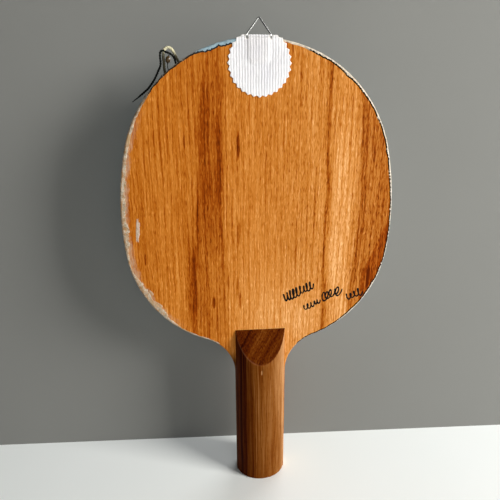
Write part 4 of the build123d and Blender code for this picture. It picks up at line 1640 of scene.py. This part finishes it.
class Cord:
    """A cord gathered from tubes along one middle line."""

    def __init__(self, points):
        self.points = points
        self.verts, self.faces = [], []
        self.attrs = {"run": [], "turn": [], "strand": []}

    def add_tube(self, path, radius, sides, **attrs):
        verts, faces = tube(path, radius, sides, len(self.verts))
        self.verts.extend(verts)
        self.faces += faces
        for key, value in attrs.items():
            self.attrs[key].extend(np.broadcast_to(value, len(verts)))

    def twist(self, radius, count, pitch, seed, taper_end=0.0, loosen=0.0, step=0.16):
        """Twisted strands; loosen opens them over the last 5 mm."""
        path = resample(self.points, step)
        _, normals, binormals = frames_along(path)
        run = np.arange(len(path)) * step
        length = run[-1]
        noise = Noise1(seed)
        strand_radius, offset = (radius * share for share in TWIST_SHARES[count])
        thin = np.ones(len(path))
        if taper_end:
            thin *= 1 - (1 - 0.35) * smooth(length - taper_end, length, run)
        phase = 2 * math.pi * run / pitch + 0.35 * noise(run * 0.3)
        for k in range(count):
            angle = phase + 2 * math.pi * k / count
            out = offset * thin * (1 + 0.10 * noise(run * 0.8 + 31 * k))
            if loosen:
                out = out * (1 + loosen * smooth(length - 5.0, length, run) * (0.5 + 0.9 * k))
            middle = path + out[:, None] * (np.cos(angle)[:, None] * normals
                                            + np.sin(angle)[:, None] * binormals)
            radii = strand_radius * thin * (1 + 0.09 * noise(run * 1.3 + 17 * k + 5))
            radii[0] *= 0.4
            radii[1] *= 0.85
            radii[-1] *= 0.35
            radii[-2] *= 0.8
            self.add_tube(middle, radii, STRAND_SIDES, run=np.repeat(run, STRAND_SIDES),
                          turn=side_turns(STRAND_SIDES, len(run)), strand=float(k))

    def fray(self, radius, count, length, seed, thickness, region):
        """Loose fibre ends that stand off the cord, within a region of its length (0..1)."""
        path = resample(self.points, 0.2)
        tangents, normals, binormals = frames_along(path)
        draw = np.random.default_rng(seed)
        for _ in range(count):
            i = int(draw.uniform(region[0], region[1]) * (len(path) - 2)) + 1
            angle = draw.uniform(0, 2 * math.pi)
            side = math.cos(angle) * normals[i] + math.sin(angle) * binormals[i]
            size = length * draw.uniform(0.45, 1.0)
            start = path[i] + side * radius * 0.75
            middle = (start + side * size * 0.35
                      + tangents[i] * size * draw.uniform(0.1, 0.5) * draw.choice([-1, 1]))
            end = (middle + side * size * draw.uniform(0.0, 0.3)
                   + tangents[i] * size * draw.uniform(0.2, 0.6))
            fibre = resample(np.array([start, middle, end]), size / 7)
            radii = np.linspace(thickness, thickness * 0.45, len(fibre))
            self.add_tube(fibre, radii, FIBRE_SIDES, run=draw.uniform(0, 50), turn=0.5,
                          strand=float(draw.integers(0, 5)))

    def build(self, name, material, node):
        make(name, self.verts, self.faces, material, node, attrs=self.attrs)


pale_loop = Cord(PALE_PATH)
pale_loop.twist(radius=0.75, count=3, pitch=3.4, seed=601)
pale_loop.fray(radius=0.75, count=26, length=1.1, seed=602, thickness=0.035, region=(0.0, 1.0))
pale_loop.build("pale_cord_loop", M_PALE, "cord_pale_loop")

dark_tail = Cord(DARK_PATH)
dark_tail.twist(radius=0.58, count=2, pitch=2.4, seed=611, taper_end=7.0, loosen=0.3)
dark_tail.fray(radius=0.52, count=14, length=0.8, seed=612, thickness=0.028, region=(0.1, 0.95))
dark_tail.build("dark_cord_tail", M_DARK, "cord_dark_tail")

rim_strand = Cord(RIM_PATH)
rim_strand.twist(radius=0.36, count=2, pitch=1.6, seed=621, taper_end=3.0)
rim_strand.build("rim_strand", M_DARK, "cord_rim_strand")

bead_thread = Cord(THREAD_PATH)
bead_thread.twist(radius=0.24, count=2, pitch=1.0, seed=631, step=0.12)
bead_thread.build("bead_thread_line", M_DARK, "bead_thread")


# ---------------------------------------------------------------- bead
BEAD_RADIUS, BEAD_HALF, BORE = 1.35, 1.6, 0.5
BEAD_TILT = math.radians(13.6)
BEAD_SIDES = 56


def bead():
    centre = (BEAD_LOW + BEAD_HIGH) / 2
    # section as (radius, height along the axis): outside, upper lip, bore, lower lip
    section_loop = []
    for k in range(37):
        angle = math.radians(-72 + 144 * k / 36)
        radius = BEAD_RADIUS * math.cos(angle) ** 0.85
        if radius > BORE + 0.16:
            section_loop.append((radius, BEAD_HALF * math.sin(angle) / math.sin(math.radians(72))))
    lip = [(BORE + 0.14, BEAD_HALF * 0.995), (BORE + 0.05, BEAD_HALF * 0.97),
           (BORE, BEAD_HALF * 0.90)]
    section_loop += lip
    section_loop += [(BORE, BEAD_HALF * 0.90 * (1 - 2 * k / 10)) for k in range(1, 10)]
    section_loop += [(radius, -height) for radius, height in lip[::-1]]
    axis = np.array([math.sin(BEAD_TILT), 0, math.cos(BEAD_TILT)])
    across = np.array([math.cos(BEAD_TILT), 0, -math.sin(BEAD_TILT)])
    through = np.array([0, 1.0, 0])
    verts = []
    for radius, height in section_loop:
        for k in range(BEAD_SIDES):
            angle = 2 * math.pi * k / BEAD_SIDES
            # the outside is slightly out of round
            wave = 0.012 * math.sin(5 * angle + 3 * height) if radius > BORE + 0.2 else 0.0
            out = radius + wave
            verts.append(centre + axis * height + across * out * math.cos(angle)
                         + through * out * math.sin(angle))
    rings = list(np.arange(len(verts)).reshape(-1, BEAD_SIDES))
    make("turned_wood_bead", verts, stitch(rings + rings[:1]), M_BEAD, "bead")


bead()


# ---------------------------------------------------------------- stage, in metres
STAGE_HALF, WALL_HEIGHT = 3, 3.0


def plane(name, corners, material):
    mesh = bpy.data.meshes.new(name)
    mesh.from_pydata(corners, [], [(0, 1, 2, 3)])
    mesh.materials.append(material)
    piece = bpy.data.objects.new(name, mesh)
    bpy.context.scene.collection.objects.link(piece)
    return piece


def floor_material():
    surface = Surface("stage_floor")
    x, y = surface.place("xy")
    cloud = surface.noise(x * 0.01, y * 0.01, 0.0)
    return surface.finish(
        Base_Color=surface.mix(cloud, (0.83, 0.86, 0.83), (0.88, 0.90, 0.88)),
        Roughness=0.75, Specular_IOR_Level=0.25)


def backdrop_material():
    """Grey from the camera's side, clear from behind."""
    surface = Surface("stage_backdrop")
    x, z = surface.place("xz")
    cloud = surface.noise(x * 0.008, 0.0, z * 0.008)
    surface.finish(
        Base_Color=surface.mix(cloud, (0.206, 0.206, 0.194), (0.222, 0.222, 0.209)),
        Roughness=0.9, Specular_IOR_Level=0.05)
    tree = surface.tree
    shown = add_node(tree, "MixShader", {
        0: add_node(tree, "NewGeometry", output="Backfacing"),
        1: Value(tree, surface.shader.outputs[0]),
        2: add_node(tree, "BsdfTransparent")})
    put(tree, surface.output.inputs[0], shown)
    return surface.material


def wall_y(x):
    """The backdrop stands just behind the paddle, turned a little about the upright."""
    return 0.0265 - 0.0392 * x


M_FLOOR = floor_material()
M_WALL = backdrop_material()
plane("floor", [(-STAGE_HALF, -STAGE_HALF, 0), (STAGE_HALF, -STAGE_HALF, 0),
                (STAGE_HALF, STAGE_HALF, 0), (-STAGE_HALF, STAGE_HALF, 0)], M_FLOOR)
wall = plane("backdrop", [(x, wall_y(x), z) for x, z in (
    (STAGE_HALF, 0.0), (-STAGE_HALF, 0.0), (-STAGE_HALF, WALL_HEIGHT),
    (STAGE_HALF, WALL_HEIGHT))], M_WALL)
# turned to face the camera
wall.data.flip_normals()
for ray in ("diffuse", "glossy", "transmission", "shadow"):
    setattr(wall, "visible_" + ray, False)


# ---------------------------------------------------------------- lights
LIGHT_TARGET = (0.0, 0.0, 0.13)


def area(name, place, size, power, colour):
    light = bpy.data.lights.new(name, "AREA")
    light.shape = "RECTANGLE"
    light.size, light.size_y = size
    light.energy = power
    light.color = colour
    lamp = bpy.data.objects.new(name, light)
    lamp.location = place
    lamp.rotation_mode = "QUATERNION"
    lamp.rotation_quaternion = (Vector(LIGHT_TARGET) - Vector(place)).to_track_quat("-Z", "Y")
    bpy.context.scene.collection.objects.link(lamp)


area("key_light", place=(1.07, -0.563, 0.56), size=(0.46, 0.56), power=24.5,
     colour=(1.0, 0.985, 0.955))
area("fill_light", place=(0.25, -1.30, 0.60), size=(0.9, 0.9), power=3.4,
     colour=(0.97, 0.985, 1.0))
area("back_light", place=(0.6, 0.95, 0.7), size=(1.0, 1.0), power=9.0,
     colour=(0.98, 0.99, 1.0))


def studio_world():
    """Dim light from all round; the camera sees a pale studio beyond the stage."""
    world = bpy.data.worlds.new("studio")
    world.use_nodes = True
    tree = world.node_tree
    ambient = tree.nodes["Background"]
    ambient.inputs[0].default_value = (0.95, 0.98, 1.0, 1.0)
    ambient.inputs[1].default_value = 0.055
    seen = add_node(tree, "MixShader", {
        0: add_node(tree, "LightPath", output="Is Camera Ray"),
        1: Value(tree, ambient.outputs[0]),
        2: add_node(tree, "Background", {0: (0.62, 0.63, 0.62)})})
    put(tree, tree.nodes["World Output"].inputs[0], seen)
    return world


scene = bpy.context.scene
scene.world = studio_world()
scene.view_settings.view_transform = "Standard"
scene.view_settings.look = "None"
scene.view_settings.exposure = 0.0
scene.view_settings.gamma = 1.0

# ---------------------------------------------------------------- camera
CAMERA_PLACE = (-0.02272, -0.20645, 0.20255)
CAMERA_RIGHT = Vector((0.996308, -0.085470, -0.008045))
CAMERA_UP = Vector((0.029438, 0.252103, 0.967253))
CAMERA_FORWARD = Vector((0.080643, 0.963919, -0.253688))

camera_data = bpy.data.cameras.new("camera")
camera_data.sensor_fit = "HORIZONTAL"
camera_data.sensor_width = 36.0
camera_data.lens = 27.04
camera_data.clip_start, camera_data.clip_end = 0.01, 20.0
camera = bpy.data.objects.new("camera", camera_data)
scene.collection.objects.link(camera)
pose = Matrix((CAMERA_RIGHT, CAMERA_UP, -CAMERA_FORWARD)).transposed().to_4x4()
pose.translation = Vector(CAMERA_PLACE)
camera.matrix_world = pose
scene.camera = camera
